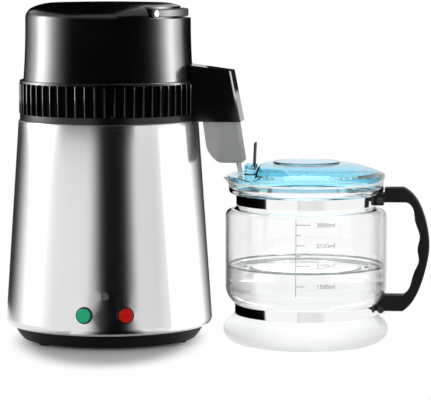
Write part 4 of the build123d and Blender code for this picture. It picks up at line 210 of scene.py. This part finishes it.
def carafe_glass_material():
    """Clear glass above, frosted below the lower band, with a soft edge between the two."""
    made, tree, bsdf = new_material("carafe_glass")
    bsdf.inputs["IOR"].default_value = 1.47
    height = add(tree, "ShaderNodeSeparateXYZ")
    tree.links.new(place(tree), height.inputs[0])
    cloud = noise(tree, 60, detail=2)
    wobble = spread(tree, cloud, -0.0006, 0.0006)
    added = add(tree, "ShaderNodeMath", operation="ADD")
    tree.links.new(height.outputs["Z"], added.inputs[0])
    tree.links.new(wobble, added.inputs[1])
    frosting = add(tree, "ShaderNodeMapRange", {1: FROST_NONE, 2: FROST_FULL, 3: 0.0, 4: 1.0})
    frosting.interpolation_type = "SMOOTHSTEP"
    tree.links.new(added.outputs[0], frosting.inputs["Value"])
    factor = frosting.outputs["Result"]
    colour = tinted(tree, factor, (0.985, 0.99, 0.988), (0.93, 0.93, 0.93), 0.0, 1.0)
    tree.links.new(colour, bsdf.inputs["Base Color"])
    tree.links.new(spread(tree, factor, 0.0, 0.55, 0.0, 1.0), bsdf.inputs["Roughness"])
    tree.links.new(spread(tree, factor, 1.0, 0.35, 0.0, 1.0), bsdf.inputs["Transmission Weight"])
    let_lamps_through(tree, bsdf, (0.96, 0.965, 0.965))
    return made


def painted_mark(name, colour):
    made, tree, bsdf = new_material(name)
    fine = noise(tree, 700, detail=2)
    mixed = tinted(tree, fine, shade(colour, 0.8), shade(colour, 1.1))
    tree.links.new(mixed, bsdf.inputs["Base Color"])
    tree.links.new(spread(tree, fine, 0.45, 0.65), bsdf.inputs["Roughness"])
    return made


def woven(name, colour):
    """Non woven sachet paper: short crossed fibres in height and colour."""
    made, tree, bsdf = new_material(name)
    one = noise(tree, 900, (1, 1, 6), detail=4)
    two = noise(tree, 900, (5, 5, 1), detail=4)
    both = add(tree, "ShaderNodeMath", operation="MAXIMUM")
    tree.links.new(one, both.inputs[0])
    tree.links.new(two, both.inputs[1])
    fibres = both.outputs[0]
    tree.links.new(tinted(tree, fibres, shade(colour, 0.78), colour), bsdf.inputs["Base Color"])
    tree.links.new(bump(tree, fibres, 0.6, 0.0002), bsdf.inputs["Normal"])
    bsdf.inputs["Roughness"].default_value = 0.85
    bsdf.inputs["Sheen Weight"].default_value = 0.3
    return made


BLACK = (0.0014, 0.0014, 0.0015)
looks = {
    "shell_steel": brushed(
        "shell_steel", (0.77, 0.77, 0.77), 0.2, (5, 5, 2600), 0.6, 0.25, 0.12, 0.000003, 0.015
    ),
    "chamber_steel": brushed("chamber_steel", (0.3, 0.3, 0.295), 0.36, (14, 14, 1800), 0.3, 0.25),
    "band_steel": brushed(
        "band_steel", (0.93, 0.93, 0.93), 0.1, (30, 30, 1500), lines=0.15, depth=0.000003
    ),
    "fastener_steel": cast("fastener_steel", (0.6, 0.6, 0.58), 0.3),
    "head_black": plastic(
        "head_black", BLACK, 0.2, grain=1400, depth=0.000004, level=0.5, spread_rough=0.02
    ),
    "ring_black": plastic(
        "ring_black", BLACK, 0.24, grain=1400, depth=0.000006, level=0.5, spread_rough=0.03
    ),
    "base_black": plastic(
        "base_black", (0.003, 0.003, 0.003), 0.5, grain=1200, depth=0.00003, level=0.12
    ),
    "bail_black": plastic("bail_black", (0.008, 0.008, 0.008), 0.38, grain=1200, depth=0.00002),
    "foot_rubber": plastic(
        "foot_rubber", (0.012, 0.012, 0.012), 0.8, grain=600, depth=0.00008, level=0.2
    ),
    "handle_black": plastic(
        "handle_black", (0.002, 0.002, 0.002), 0.62, grain=1500, depth=0.00004, level=0.18
    ),
    "trim_black": plastic(
        "trim_black", (0.007, 0.007, 0.007), 0.42, grain=1200, depth=0.00002, level=0.4
    ),
    "button_green": plastic(
        "button_green", (0.002, 0.35, 0.155), 0.3, vary=0.05, depth=0.000008, level=0.3
    ),
    "button_red": plastic(
        "button_red", (0.44, 0.0015, 0.0015), 0.3, vary=0.05, depth=0.000008, level=0.25
    ),
    "lens_clear": plastic(
        "lens_clear", (0.07, 0.07, 0.073), 0.45, vary=0.15, depth=0.00001, level=0.3
    ),
    "contact_brass": cast("contact_brass", (0.78, 0.57, 0.26), 0.28),
    "heater_aluminium": cast("heater_aluminium", (0.6, 0.6, 0.6), 0.45),
    "thermostat_brown": plastic("thermostat_brown", (0.1, 0.035, 0.02), 0.45),
    # near-black colour on the aluminium fins: painted shade for the dark inside of the head
    "fin_aluminium": brushed("fin_aluminium", (0.03, 0.03, 0.032), 0.5, (400, 400, 60)),
    "motor_iron": cast("motor_iron", (0.25, 0.25, 0.26), 0.5, metallic=0.9),
    "rotor_grey": plastic("rotor_grey", (0.16, 0.165, 0.17), 0.4),
    "basket_grey": plastic(
        "basket_grey", (0.235, 0.235, 0.235), 0.5, vary=0.06, grain=1500, depth=0.00003
    ),
    "nozzle_grey": plastic("nozzle_grey", (0.5, 0.5, 0.5), 0.25, vary=0.08, depth=0.00001),
    "sachet_white": woven("sachet_white", (0.82, 0.81, 0.78)),
    "gasket_silicone": plastic("gasket_silicone", (0.55, 0.56, 0.56), 0.5, vary=0.06),
    "carafe_glass": carafe_glass_material(),
    "lid_blue": glassy(
        "lid_blue", (0.38, 0.81, 0.97), 0.02, 1.45, (0.95, 0.985, 0.99), 0.0001, 0.15
    ),
    "flap_navy": plastic("flap_navy", (0.003, 0.008, 0.014), 0.5, depth=0.00001, level=0.05),
}
own_looks = {
    # near-black colour on the steel coil: painted shade for the dark inside of the head
    "condenser_coil": brushed("coil_painted_shade", (0.035, 0.035, 0.036), 0.42, (40, 40, 300)),
    # near-black colour on the steel band screws: painted shade over their bright steel
    "band_screws": cast("screw_painted_shade", (0.05, 0.05, 0.05), 0.4),
}
for entry in frame["record"]["subparts"]:
    for spot in nodes[entry["node"]].material_slots:
        spot.material = own_looks.get(entry["node"], looks[entry["material_slot"]])


# ---------------------------------------------------------------- mesh helpers
def mesh_object(name, points, faces, look, smooth=True):
    mesh = bpy.data.meshes.new(name)
    mesh.from_pydata([tuple(point) for point in points], [], faces)
    mesh.materials.append(look)
    if smooth:
        mesh.shade_smooth()
    made = bpy.data.objects.new(name, mesh)
    scene.collection.objects.link(made)
    return made


def tidy_normals(thing):
    work = bmesh.new()
    work.from_mesh(thing.data)
    bmesh.ops.remove_doubles(work, verts=work.verts, dist=1e-7)
    bmesh.ops.recalc_face_normals(work, faces=work.faces)
    work.to_mesh(thing.data)
    work.free()


def lathe(name, profile, centre, look, steps=160):
    """A closed outline of radius and height, turned about an upright axis."""
    points, faces = [], []
    for step in range(steps):
        turn = 2 * math.pi * step / steps
        for radius, height in profile:
            along, aside = radius * math.cos(turn), radius * math.sin(turn)
            points.append((centre.x + along, centre.y + aside, height))
    count = len(profile)
    for step in range(steps):
        here, there = step * count, (step + 1) % steps * count
        for spot in range(count):
            after = (spot + 1) % count
            faces.append((here + spot, there + spot, there + after, here + after))
    made = mesh_object(name, points, faces, look)
    tidy_normals(made)
    return made


# ---------------------------------------------------------------- water in the carafe
def glass_inside(height):
    """The inner radius of the carafe below the water line."""
    table = [
        (0.0030, 0.0696), (0.0033, 0.0731), (0.0044, 0.0765), (0.0060, 0.0796), (0.0082, 0.0823),
        (0.0109, 0.0846), (0.0140, 0.0863), (0.0165, 0.0860), (0.0189, 0.0850), (0.0210, 0.0835),
        (0.0226, 0.0815), (0.0291, 0.0731), (0.0420, 0.0731), (0.0444, 0.0762), (0.0473, 0.0789),
        (0.0506, 0.0811), (0.0542, 0.0827), (0.0581, 0.0837), (0.0620, 0.0840), (0.0900, 0.0840),
    ]
    for (low, near), (high, far) in zip(table, table[1:]):
        if height <= high:
            return near + (far - near) * (height - low) / (high - low)
    return table[-1][1]


GAP = 0.0003
WATER_BOTTOM, WATER_TOP = 0.0034, 0.083
WATER_STEPS = 60
WATER_IOR = 1.333
water_look = glassy("water", (0.965, 0.97, 0.975), 0.0, WATER_IOR, (0.99, 0.99, 0.99))
depth = WATER_TOP - WATER_BOTTOM
rise = [WATER_BOTTOM + depth * step / WATER_STEPS for step in range(WATER_STEPS + 1)]
side = [(glass_inside(height) - GAP * 2, height) for height in rise]
flat = [(0.04, WATER_TOP), (0.0, WATER_TOP)]
water = lathe("water", [(0.0, side[0][1])] + side + flat, CARAFE, water_look)
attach(water, "carafe")
edge = side[-1][0] + GAP
climb = [(0.0, 0.0002), (0.0, 0.0019), (0.0006, 0.0006), (0.0018, 0.0002)]
rim = [(edge - inward, WATER_TOP + upward) for inward, upward in climb]
# dark grey glass on the meniscus: painted shade that draws the dark water line
meniscus_shade_look = glassy("meniscus_painted_shade", (0.3, 0.31, 0.32), 0.05, WATER_IOR, (0.8, 0.8, 0.8))
meniscus = lathe("meniscus", rim, CARAFE, meniscus_shade_look)
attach(meniscus, "carafe")


# ---------------------------------------------------------------- vents: rib noses and a black sheet of painted shade
RIBS = 58
RIB_TURN = math.radians(3.1)
RIB_BOTTOM, RIB_TOP = 0.2456, 0.2774
NOSE_REACH = 0.0955
NOSE_HALF = 0.00088
# Radii, heights and turns of the black sheet behind the ribs, which is painted shade for the dark
# inside of the head
SHADE_SHEET_INNER, SHADE_SHEET_OUTER = 0.0884, 0.0886
SHADE_SHEET_BOTTOM, SHADE_SHEET_TOP = 0.2462, 0.2768
SHADE_SHEET_TURNS = range(22, 356, 2)


def rib_noses():
    """A half round bead down the front of each rib."""
    points, faces = [], []
    arc = 8
    for rib in range(RIBS):
        turn = RIB_TURN + 2 * math.pi * rib / RIBS
        out = Vector((math.cos(turn), math.sin(turn), 0))
        across = Vector((-math.sin(turn), math.cos(turn), 0))
        start = len(points)
        for height in (RIB_BOTTOM, RIB_TOP):
            for step in range(arc + 1):
                bend = math.pi * step / arc
                reach = NOSE_REACH + NOSE_HALF * math.sin(bend)
                aside = across * (NOSE_HALF * math.cos(bend))
                points.append(BODY + out * reach + aside + UP * height)
        top = start + arc + 1
        for step in range(arc):
            faces.append((start + step, start + step + 1, top + step + 1, top + step))
        faces.append((start, top, top + arc, start + arc))
        faces.append(tuple(range(start + arc, start - 1, -1)))
        faces.append(tuple(range(top, top + arc + 1)))
    look = plastic(
        "rib_gloss", BLACK, 0.1, grain=1400, depth=0.000002, level=0.7, spread_rough=0.02
    )
    made = mesh_object("rib_noses", points, faces, look, smooth=False)
    tidy_normals(made)
    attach(made, "head")


def vent_shade_sheet():
    """A thin black sheet of painted shade behind the ribs. Its gap misses the outlet tube, which it
    cuts into.
    """
    points, faces = [], []
    section = [(SHADE_SHEET_INNER, SHADE_SHEET_BOTTOM), (SHADE_SHEET_OUTER, SHADE_SHEET_BOTTOM)]
    section += [(SHADE_SHEET_OUTER, SHADE_SHEET_TOP), (SHADE_SHEET_INNER, SHADE_SHEET_TOP)]
    turns = [math.radians(turn) for turn in SHADE_SHEET_TURNS]
    for turn in turns:
        for radius, height in section:
            along, aside = radius * math.cos(turn), radius * math.sin(turn)
            points.append((BODY.x + along, BODY.y + aside, height))
    for step in range(len(turns) - 1):
        for spot in range(4):
            after = (spot + 1) % 4
            here, there = 4 * step + spot, 4 * step + after
            faces.append((here, there, there + 4, here + 4))
    last = 4 * (len(turns) - 1)
    faces += [(3, 2, 1, 0), (last, last + 1, last + 2, last + 3)]
    # near-black sheet: painted shade for the dark inside of the head seen between the ribs
    look = plastic("vent_painted_shade", (0.0015, 0.0015, 0.0015), 0.8, level=0.05)
    made = mesh_object("vent_shade_sheet", points, faces, look, smooth=False)
    tidy_normals(made)
    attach(made, "head")


rib_noses()
vent_shade_sheet()


# ---------------------------------------------------------------- printed scale on the glass
mark_look = painted_mark("scale_grey", (0.26, 0.26, 0.265))
MARK_TURN = math.radians(-7.1)
MARK_SHIFT = 3
TO_CAMERA = Vector((*CAMERA_SPOT[:2], 0)) - CARAFE
FRONT = math.atan2(TO_CAMERA.y, TO_CAMERA.x)
GLASS_RADIUS = 0.0864
SHOULDER_START = 0.1365
SHOULDER_RADIUS = 0.0075
# Half the width of a printed line, and how far its back and front stand off the glass
THIN = 0.00035
INK_BACK, INK_FRONT = 0.00004, 0.00014
COLUMN = 0.002
FIGURE_LEFT = 0.0215
FIGURE_SIZE = 0.0067
FIGURE_MIDDLE = 0.35
FIGURE_HALF_THICK, FIGURE_STANDOFF = 0.00005, 0.00009


def on_glass(along, height, proud):
    """A point on the glass: along is metres of arc to the right of the scale line."""
    turn = FRONT + MARK_TURN + along / GLASS_RADIUS
    over = max(0.0, height - SHOULDER_START)
    fall = SHOULDER_RADIUS - math.sqrt(SHOULDER_RADIUS ** 2 - over ** 2)
    radius = GLASS_RADIUS - fall + proud
    return Vector((CARAFE.x + radius * math.cos(turn), CARAFE.y + radius * math.sin(turn), height))


def stripe(name, left, right, bottom, top):
    """A thin printed bar that follows the glass."""
    columns = max(2, int(abs(right - left) / COLUMN) + 2)
    points, faces = [], []
    for column in range(columns):
        along = left + (right - left) * column / (columns - 1)
        for proud in (INK_BACK, INK_FRONT):
            points.append(on_glass(along, bottom, proud))
            points.append(on_glass(along, top, proud))
    for column in range(columns - 1):
        here, there = 4 * column, 4 * column + 4
        for one, two in ((0, 1), (1, 3), (3, 2), (2, 0)):
            faces.append((here + one, here + two, there + two, there + one))
    faces.append((0, 1, 3, 2))
    last = 4 * (columns - 1)
    faces.append((last, last + 2, last + 3, last + 1))
    made = mesh_object(name, points, faces, mark_look, smooth=False)
    tidy_normals(made)
    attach(made, "carafe")


def pixel_height(row):
    """The height on the front of the glass that shows in a row of the photograph."""
    look_down = math.radians(LOOK_DOWN) + math.atan((row + MARK_SHIFT - MIDDLE_ROW) / FOCAL_PIXELS)
    return CAMERA_SPOT[2] - (CARAFE.y - CAMERA_SPOT[1] - GLASS_RADIUS) * math.tan(look_down)


LINE_BOTTOM_ROW, LINE_TOP_ROW = 294, 217
stripe("scale_line", -THIN, THIN, pixel_height(LINE_BOTTOM_ROW), pixel_height(LINE_TOP_ROW))
# Each tick's row in the photograph and its length
ticks = [
    (222.3, 0.0146), (232.5, 0.0049), (243, 0.0092), (253.3, 0.0049), (263.5, 0.0146),
    (284, 0.0092),
]
for number, (row, length) in enumerate(ticks):
    stripe(f"scale_tick_{number}", 0, length, pixel_height(row) - THIN, pixel_height(row) + THIN)


def words(name, text, left, row, size):
    """Printed figures that follow the glass, made from the built in plain face."""
    curve = bpy.data.curves.new(name, "FONT")
    curve.body = text
    curve.size = size
    curve.extrude = FIGURE_HALF_THICK
    holder = bpy.data.objects.new(name + "_flat", curve)
    scene.collection.objects.link(holder)
    bpy.context.view_layer.update()
    solid = holder.evaluated_get(bpy.context.evaluated_depsgraph_get())
    mesh = bpy.data.meshes.new_from_object(solid)
    bpy.data.objects.remove(holder)
    base = pixel_height(row) - size * FIGURE_MIDDLE
    for vertex in mesh.vertices:
        across, upward, out = vertex.co
        vertex.co = on_glass(left + across, base + upward, FIGURE_STANDOFF + out)
    mesh.name = name
    mesh.materials.clear()
    mesh.materials.append(mark_look)
    made = bpy.data.objects.new(name, mesh)
    scene.collection.objects.link(made)
    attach(made, "carafe")


figures = [("3000ml", 222.3), ("2500ml", 243), ("2000ml", 263.5), ("1500ml", 284)]
for number, (text, row) in enumerate(figures):
    words(f"scale_figure_{number}", text, FIGURE_LEFT, row, FIGURE_SIZE)


# ---------------------------------------------------------------- charcoal sachet inside the basket
SACHET_HALF, SEAM_HALF, PUCKER = 0.0132, 0.0004, 0.0006
CROWN = 2.6
DRAWN_IN = 0.96
RINGS = 10
SIDE_PARTS = 4


def sachet():
    """A crowned pad whose two faces meet in a seam just inside the basket's outline."""
    outline = [
        (0.1075, 0.2335), (0.1385, 0.2335), (0.1402, 0.2200), (0.1422, 0.2075), (0.1433, 0.2003),
        (0.1360, 0.2000), (0.1280, 0.2003), (0.1215, 0.2025), (0.1165, 0.2068), (0.1130, 0.2130),
        (0.1100, 0.2200), (0.1082, 0.2270),
    ]
    border = []
    for spot, (reach, height) in enumerate(outline):
        after = outline[(spot + 1) % len(outline)]
        further, higher = after[0] - reach, after[1] - height
        for step in range(SIDE_PARTS):
            share = step / SIDE_PARTS
            border.append((reach + further * share, height + higher * share))
    centre = (sum(p[0] for p in border) / len(border), sum(p[1] for p in border) / len(border))
    points, faces = [], []
    for face in (1, -1):
        for ring in range(RINGS + 1):
            share = ring / RINGS
            swell = SACHET_HALF * (1 - (1 - share) ** CROWN)
            for spot, (reach, height) in enumerate(border):
                pucker = PUCKER * math.sin(spot * 2.1) * (1 - share) * min(1, share * 6)
                wide = face * (swell + pucker + (SEAM_HALF if ring == 0 else 0))
                here = centre[0] + (reach - centre[0]) * (1 - share * DRAWN_IN)
                up = centre[1] + (height - centre[1]) * (1 - share * DRAWN_IN)
                points.append(BODY + OUT * here + UP * up + ACROSS * wide)
    count = len(border)
    for side_of, start in ((1, 0), (-1, (RINGS + 1) * count)):
        for ring in range(RINGS):
            for spot in range(count):
                after = (spot + 1) % count
                one, two = start + ring * count + spot, start + ring * count + after
                three, four = two + count, one + count
                faces.append((one, two, three, four) if side_of > 0 else (four, three, two, one))
        faces.append(tuple(start + RINGS * count + spot for spot in range(count)))
    back = (RINGS + 1) * count
    for spot in range(count):
        after = (spot + 1) % count
        faces.append((spot, back + spot, back + after, after))
    made = mesh_object("sachet_pad", points, faces, looks["sachet_white"])
    tidy_normals(made)
    smooth = made.modifiers.new("round", "SUBSURF")
    smooth.levels = smooth.render_levels = 1
    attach(made, "basket")
    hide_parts("carbon_sachet")


sachet()


# ---------------------------------------------------------------- floor, sky and lamps
def white_where_seen(tree, shader, strength, hidden, socket="Strength"):
    """One strength for rays from the camera, a mirror or glass, and another for all others."""
    path = tree.nodes.new("ShaderNodeLightPath")
    first = add(tree, "ShaderNodeMath", operation="MAXIMUM")
    second = add(tree, "ShaderNodeMath", operation="MAXIMUM")
    tree.links.new(path.outputs["Is Camera Ray"], first.inputs[0])
    tree.links.new(path.outputs["Is Glossy Ray"], first.inputs[1])
    tree.links.new(first.outputs[0], second.inputs[0])
    tree.links.new(path.outputs["Is Transmission Ray"], second.inputs[1])
    level = add(tree, "ShaderNodeMapRange", {3: hidden, 4: strength})
    tree.links.new(second.outputs[0], level.inputs["Value"])
    tree.links.new(level.outputs["Result"], shader.inputs[socket])


world = bpy.data.worlds.new("studio")
scene.world = world
world.use_nodes = True
sky = world.node_tree.nodes["Background"]
sky.inputs["Color"].default_value = (1, 1, 1, 1)
white_where_seen(world.node_tree, sky, 1.0, 0.3)


FLOOR_HALF = 9
FADE_START, FADE_END = 0.15, 0.225


def floor_material():
    """A pale floor that keeps the object's shadow and runs out into plain white."""
    made, tree, bsdf = new_material("floor")
    bsdf.inputs["Roughness"].default_value = 0.3
    bsdf.inputs["Specular IOR Level"].default_value = 0.2
    colour = tinted(tree, noise(tree, 3), (0.87, 0.87, 0.87), (0.88, 0.88, 0.88))
    tree.links.new(colour, bsdf.inputs["Base Color"])
    bsdf.inputs["Emission Color"].default_value = (1, 1, 1, 1)
    white_where_seen(tree, bsdf, 0.04, 0.0, "Emission Strength")
    plain = tree.nodes.new("ShaderNodeEmission")
    white_where_seen(tree, plain, 1.0, 0.5)
    reach = add(tree, "ShaderNodeVectorMath", operation="LENGTH")
    tree.links.new(place(tree, (2, 1, 1), (-2 * BODY.x, 0, 0)), reach.inputs[0])
    fade = add(tree, "ShaderNodeMapRange", {1: FADE_START, 2: FADE_END, 3: 0.0, 4: 1.0})
    fade.interpolation_type = "SMOOTHSTEP"
    tree.links.new(reach.outputs["Value"], fade.inputs["Value"])
    mix = tree.nodes.new("ShaderNodeMixShader")
    tree.links.new(fade.outputs["Result"], mix.inputs["Fac"])
    tree.links.new(bsdf.outputs["BSDF"], mix.inputs[1])
    tree.links.new(plain.outputs[0], mix.inputs[2])
    tree.links.new(mix.outputs["Shader"], tree.nodes["Material Output"].inputs["Surface"])
    return made


corners = [(FLOOR_HALF * x, FLOOR_HALF * y, 0) for x, y in ((-1, -1), (1, -1), (1, 1), (-1, 1))]
floor = mesh_object("floor", corners, [(0, 1, 2, 3)], floor_material(), smooth=False)


def aim(thing, target):
    thing.rotation_mode = "QUATERNION"
    thing.rotation_quaternion = (target - thing.location).to_track_quat("-Z", "Y")


def lamp(name, location, target, width, tall, power):
    """An area lamp that neither the camera nor a mirror sees."""
    light = bpy.data.lights.new(name, "AREA")
    light.shape = "RECTANGLE"
    light.size, light.size_y = width, tall
    light.energy = power
    made = bpy.data.objects.new(name, light)
    made.location = location
    aim(made, Vector(target))
    made.visible_glossy = False
    made.visible_camera = False
    scene.collection.objects.link(made)


lamp("back_light", (0.1, 1.15, 2.1), (0, -0.05, 0.05), 1.5, 1.0, 44)
lamp("front_left", (-1.3, -2.2, 0.75), (0, 0, 0.15), 1.0, 1.0, 21)
lamp("front_right", (1.5, -2.1, 0.7), (0, 0, 0.15), 1.0, 1.0, 21)


def glow_material(name):
    """Light as strong as the mesh's own glow value, seen from the front of a face alone."""
    made = bpy.data.materials.new(name)
    made.use_nodes = True
    tree = made.node_tree
    tree.nodes.remove(tree.nodes["Principled BSDF"])
    glow = tree.nodes.new("ShaderNodeEmission")
    value = add(tree, "ShaderNodeAttribute", attribute_name="glow")
    clear = tree.nodes.new("ShaderNodeBsdfTransparent")
    side_seen = tree.nodes.new("ShaderNodeNewGeometry")
    mix = tree.nodes.new("ShaderNodeMixShader")
    tree.links.new(value.outputs["Fac"], glow.inputs["Strength"])
    tree.links.new(side_seen.outputs["Backfacing"], mix.inputs["Fac"])
    tree.links.new(glow.outputs[0], mix.inputs[1])
    tree.links.new(clear.outputs[0], mix.inputs[2])
    tree.links.new(mix.outputs[0], tree.nodes["Material Output"].inputs["Surface"])
    return made


card_look = glow_material("studio_card")


def card(name, columns, seen_by_glass=False):
    """A studio card that mirrors see, made of columns of two corners and a glow."""
    points, faces = [], []
    for low_corner, high_corner, _ in columns:
        points += [low_corner, high_corner]
    for column in range(len(columns) - 1):
        here = 2 * column
        faces.append((here, here + 1, here + 3, here + 2))
    made = mesh_object(name, points, faces, card_look, smooth=False)
    layer = made.data.attributes.new("glow", "FLOAT", "POINT")
    for column, (_, _, glow) in enumerate(columns):
        layer.data[2 * column].value = glow
        layer.data[2 * column + 1].value = glow
    made.visible_camera = False
    made.visible_diffuse = False
    made.visible_shadow = False
    made.visible_transmission = seen_by_glass
    made.visible_volume_scatter = False
    return made


TENT_STEP = 3
# How far the camera stands to the right of the body's front, in degrees
VIEW_TURN = 2.5


def around(turn, distance, height):
    """A point at a turn in degrees from the front of the body, to the right when positive."""
    angle = math.radians(turn)
    return (BODY.x + distance * math.sin(angle), BODY.y - distance * math.cos(angle), height)


def level_at(profile, turn):
    for (low, near), (high, far) in zip(profile, profile[1:]):
        if turn <= high:
            return near + (far - near) * (turn - low) / (high - low)
    return profile[-1][1]


def tent(name, profile, inner, outer):
    """A card bent round the body, from a radius and height to another, that faces the body."""
    first = math.ceil(profile[0][0] / TENT_STEP) * TENT_STEP
    last = math.floor(profile[-1][0] / TENT_STEP) * TENT_STEP
    turns = range(first, last + 1, TENT_STEP)
    card(name, [(around(t, *outer), around(t, *inner), level_at(profile, t)) for t in turns])


def met(radius, distance, lights):
    """Turns on a tent that the camera sees mirrored in a wall of the body, and their light."""
    profile = []
    for turn, glow in lights:
        wall, away = math.radians(turn), math.radians(2 * turn - VIEW_TURN)
        spot = Vector((radius * math.sin(wall), radius * math.cos(wall)))
        ray = Vector((math.sin(away), math.cos(away)))
        along = spot.dot(ray)
        end = spot + ray * (math.sqrt(along ** 2 + distance ** 2 - radius ** 2) - along)
        profile.append((math.degrees(math.atan2(end.x, end.y)), glow))
    return profile


# Radii of the steel and head walls as mirrors, and of the tents round them
STEEL_REACH, HEAD_REACH = 0.104, 0.09
FAR, SIDE, NEAR, FLAG_INNER = 0.33, 0.185, 0.1222, 0.113
# Heights of the tents' edges
TENT_SPLIT, TENT_TOP = 0.244, 0.42
SIDE_BOTTOM, NEAR_TOP, ON_FLOOR = 0.268, 0.2355, 0.0012
# Turns in degrees from the front, to the right when positive, and the light wanted there
STEEL_LIGHT = met(STEEL_REACH, FAR, [
    (-88, 0.02), (-76, 0.03), (-70, 0.05), (-65, 0.25), (-61.5, 0.5), (-55, 1.1), (-49, 1.7),
    (-40, 1.5), (-35, 1.15), (-31, 0.99), (-23, 0.97), (-13.5, 0.97), (-9.9, 0.95), (-6.4, 0.55),
    (-2.9, 0.07), (0, 0.0), (8.5, 0.0), (12, 0.02), (15.5, 0.3), (18.5, 0.86), (21, 0.87),
    (27, 0.85), (31, 0.82), (35, 0.95),
])
HEAD_LEFT = [
    (-88, 0.0), (-76, 0.0), (-70, 0.4), (-66, 0.8), (-57, 4.6), (-50, 21.0), (-44, 14.0),
    (-38.5, 5.5), (-33, 1.5), (-28, 0.2), (-24, 0.0), (20, 0.0),
]
HEAD_RIGHT = [
    (8, 0.0), (24, 0.0), (28, 0.02), (33, 0.22), (38.5, 1.6), (44, 7.8), (50, 19.0), (57, 7.0),
    (66, 0.1), (72, 0.0), (88, 0.0),
]
FLAG_LIGHT = [(turn, glow) for turn, glow in STEEL_LIGHT if -31 < turn < 31]
NEAR_LIGHT = [
    (41, 1.2), (47, 1.7), (74, 1.6), (80, 1.1), (86, 0.6), (96, 0.2), (106, 0.05), (120, 0.02),
    (141, 0.01),
]
tent("steel_tent", STEEL_LIGHT, (FAR, TENT_SPLIT), (FAR, 0.0))
tent("head_tent", met(HEAD_REACH, FAR, HEAD_LEFT), (FAR, TENT_TOP), (FAR, TENT_SPLIT))
tent("side_head_tent", met(HEAD_REACH, SIDE, HEAD_RIGHT), (SIDE, TENT_TOP), (SIDE, SIDE_BOTTOM))
tent("floor_flag", FLAG_LIGHT, (FAR, ON_FLOOR), (FLAG_INNER, ON_FLOOR))
tent("near_card", NEAR_LIGHT, (NEAR, NEAR_TOP), (NEAR, 0.0))
# Each flat card's glow, then the two corners of its first and of its last column
FLAT_CARDS = {
    "roof": (0, (-0.05, 0.5, 0.62), (-0.05, -0.3, 0.62), (-0.5, 0.5, 0.62), (-0.5, -0.3, 0.62)),
    "back_flag": (
        0, (-0.03, 0.5, 0.36), (-0.03, 0.5, 0.62), (-0.45, 0.5, 0.36), (-0.45, 0.5, 0.62)
    ),
    "carafe_screen": (
        1, (0.004, -0.106, 0), (0.004, -0.106, 0.25), (0.043, -0.361, 0), (0.043, -0.361, 0.25)
    ),
    "carafe_flag": (
        0, (0.0005, 0.32, 0), (0.0005, 0.32, 0.2), (0.0005, -0.104, 0), (0.0005, -0.104, 0.2)
    ),
}
for name, (glow, *corners) in FLAT_CARDS.items():
    card(name, [(*corners[:2], glow), (*corners[2:], glow)])

WING_NEAR, WING_FAR = 0.28, 0.42
WING_BOTTOM, WING_TOP = 0.0006, 0.3


def wing(name, side_of, shades):
    """A grey wing beside the carafe, upright and on the floor, seen only through the glass."""
    def spot(turn, distance, height):
        angle = math.radians(turn)
        aside, behind = side_of * distance * math.sin(angle), distance * math.cos(angle)
        return (CARAFE.x + aside, CARAFE.y + behind, height)

    strips = {
        "upright": ((WING_FAR, WING_BOTTOM), (WING_FAR, WING_TOP)),
        "flat": ((WING_NEAR, WING_BOTTOM), (WING_FAR, WING_BOTTOM)),
    }
    for part, (inner, outer) in strips.items():
        columns = [(spot(turn, *inner), spot(turn, *outer), glow) for turn, glow in shades]
        if side_of > 0:
            columns.reverse()
        made = card(f"{name}_{part}", columns, seen_by_glass=True)
        made.visible_glossy = False


wing("right_wing", 1, [(14, 1.0), (21, 0.78), (30, 0.5), (42, 0.3), (60, 0.15), (85, 0.08)])
wing("left_wing", -1, [(14, 1.0), (21, 0.85), (30, 0.64), (42, 0.4), (60, 0.2), (85, 0.08)])


# ---------------------------------------------------------------- camera and view
lens = bpy.data.cameras.new("camera")
lens.sensor_width = SENSOR_WIDTH
lens.lens = SENSOR_WIDTH * FOCAL_PIXELS / PICTURE_WIDTH
lens.clip_start, lens.clip_end = 0.05, 60
camera = bpy.data.objects.new("camera", lens)
camera.location = CAMERA_SPOT
camera.rotation_euler = (math.radians(90 - LOOK_DOWN), 0, 0)
scene.collection.objects.link(camera)
scene.camera = camera
scene.view_settings.view_transform = "Standard"
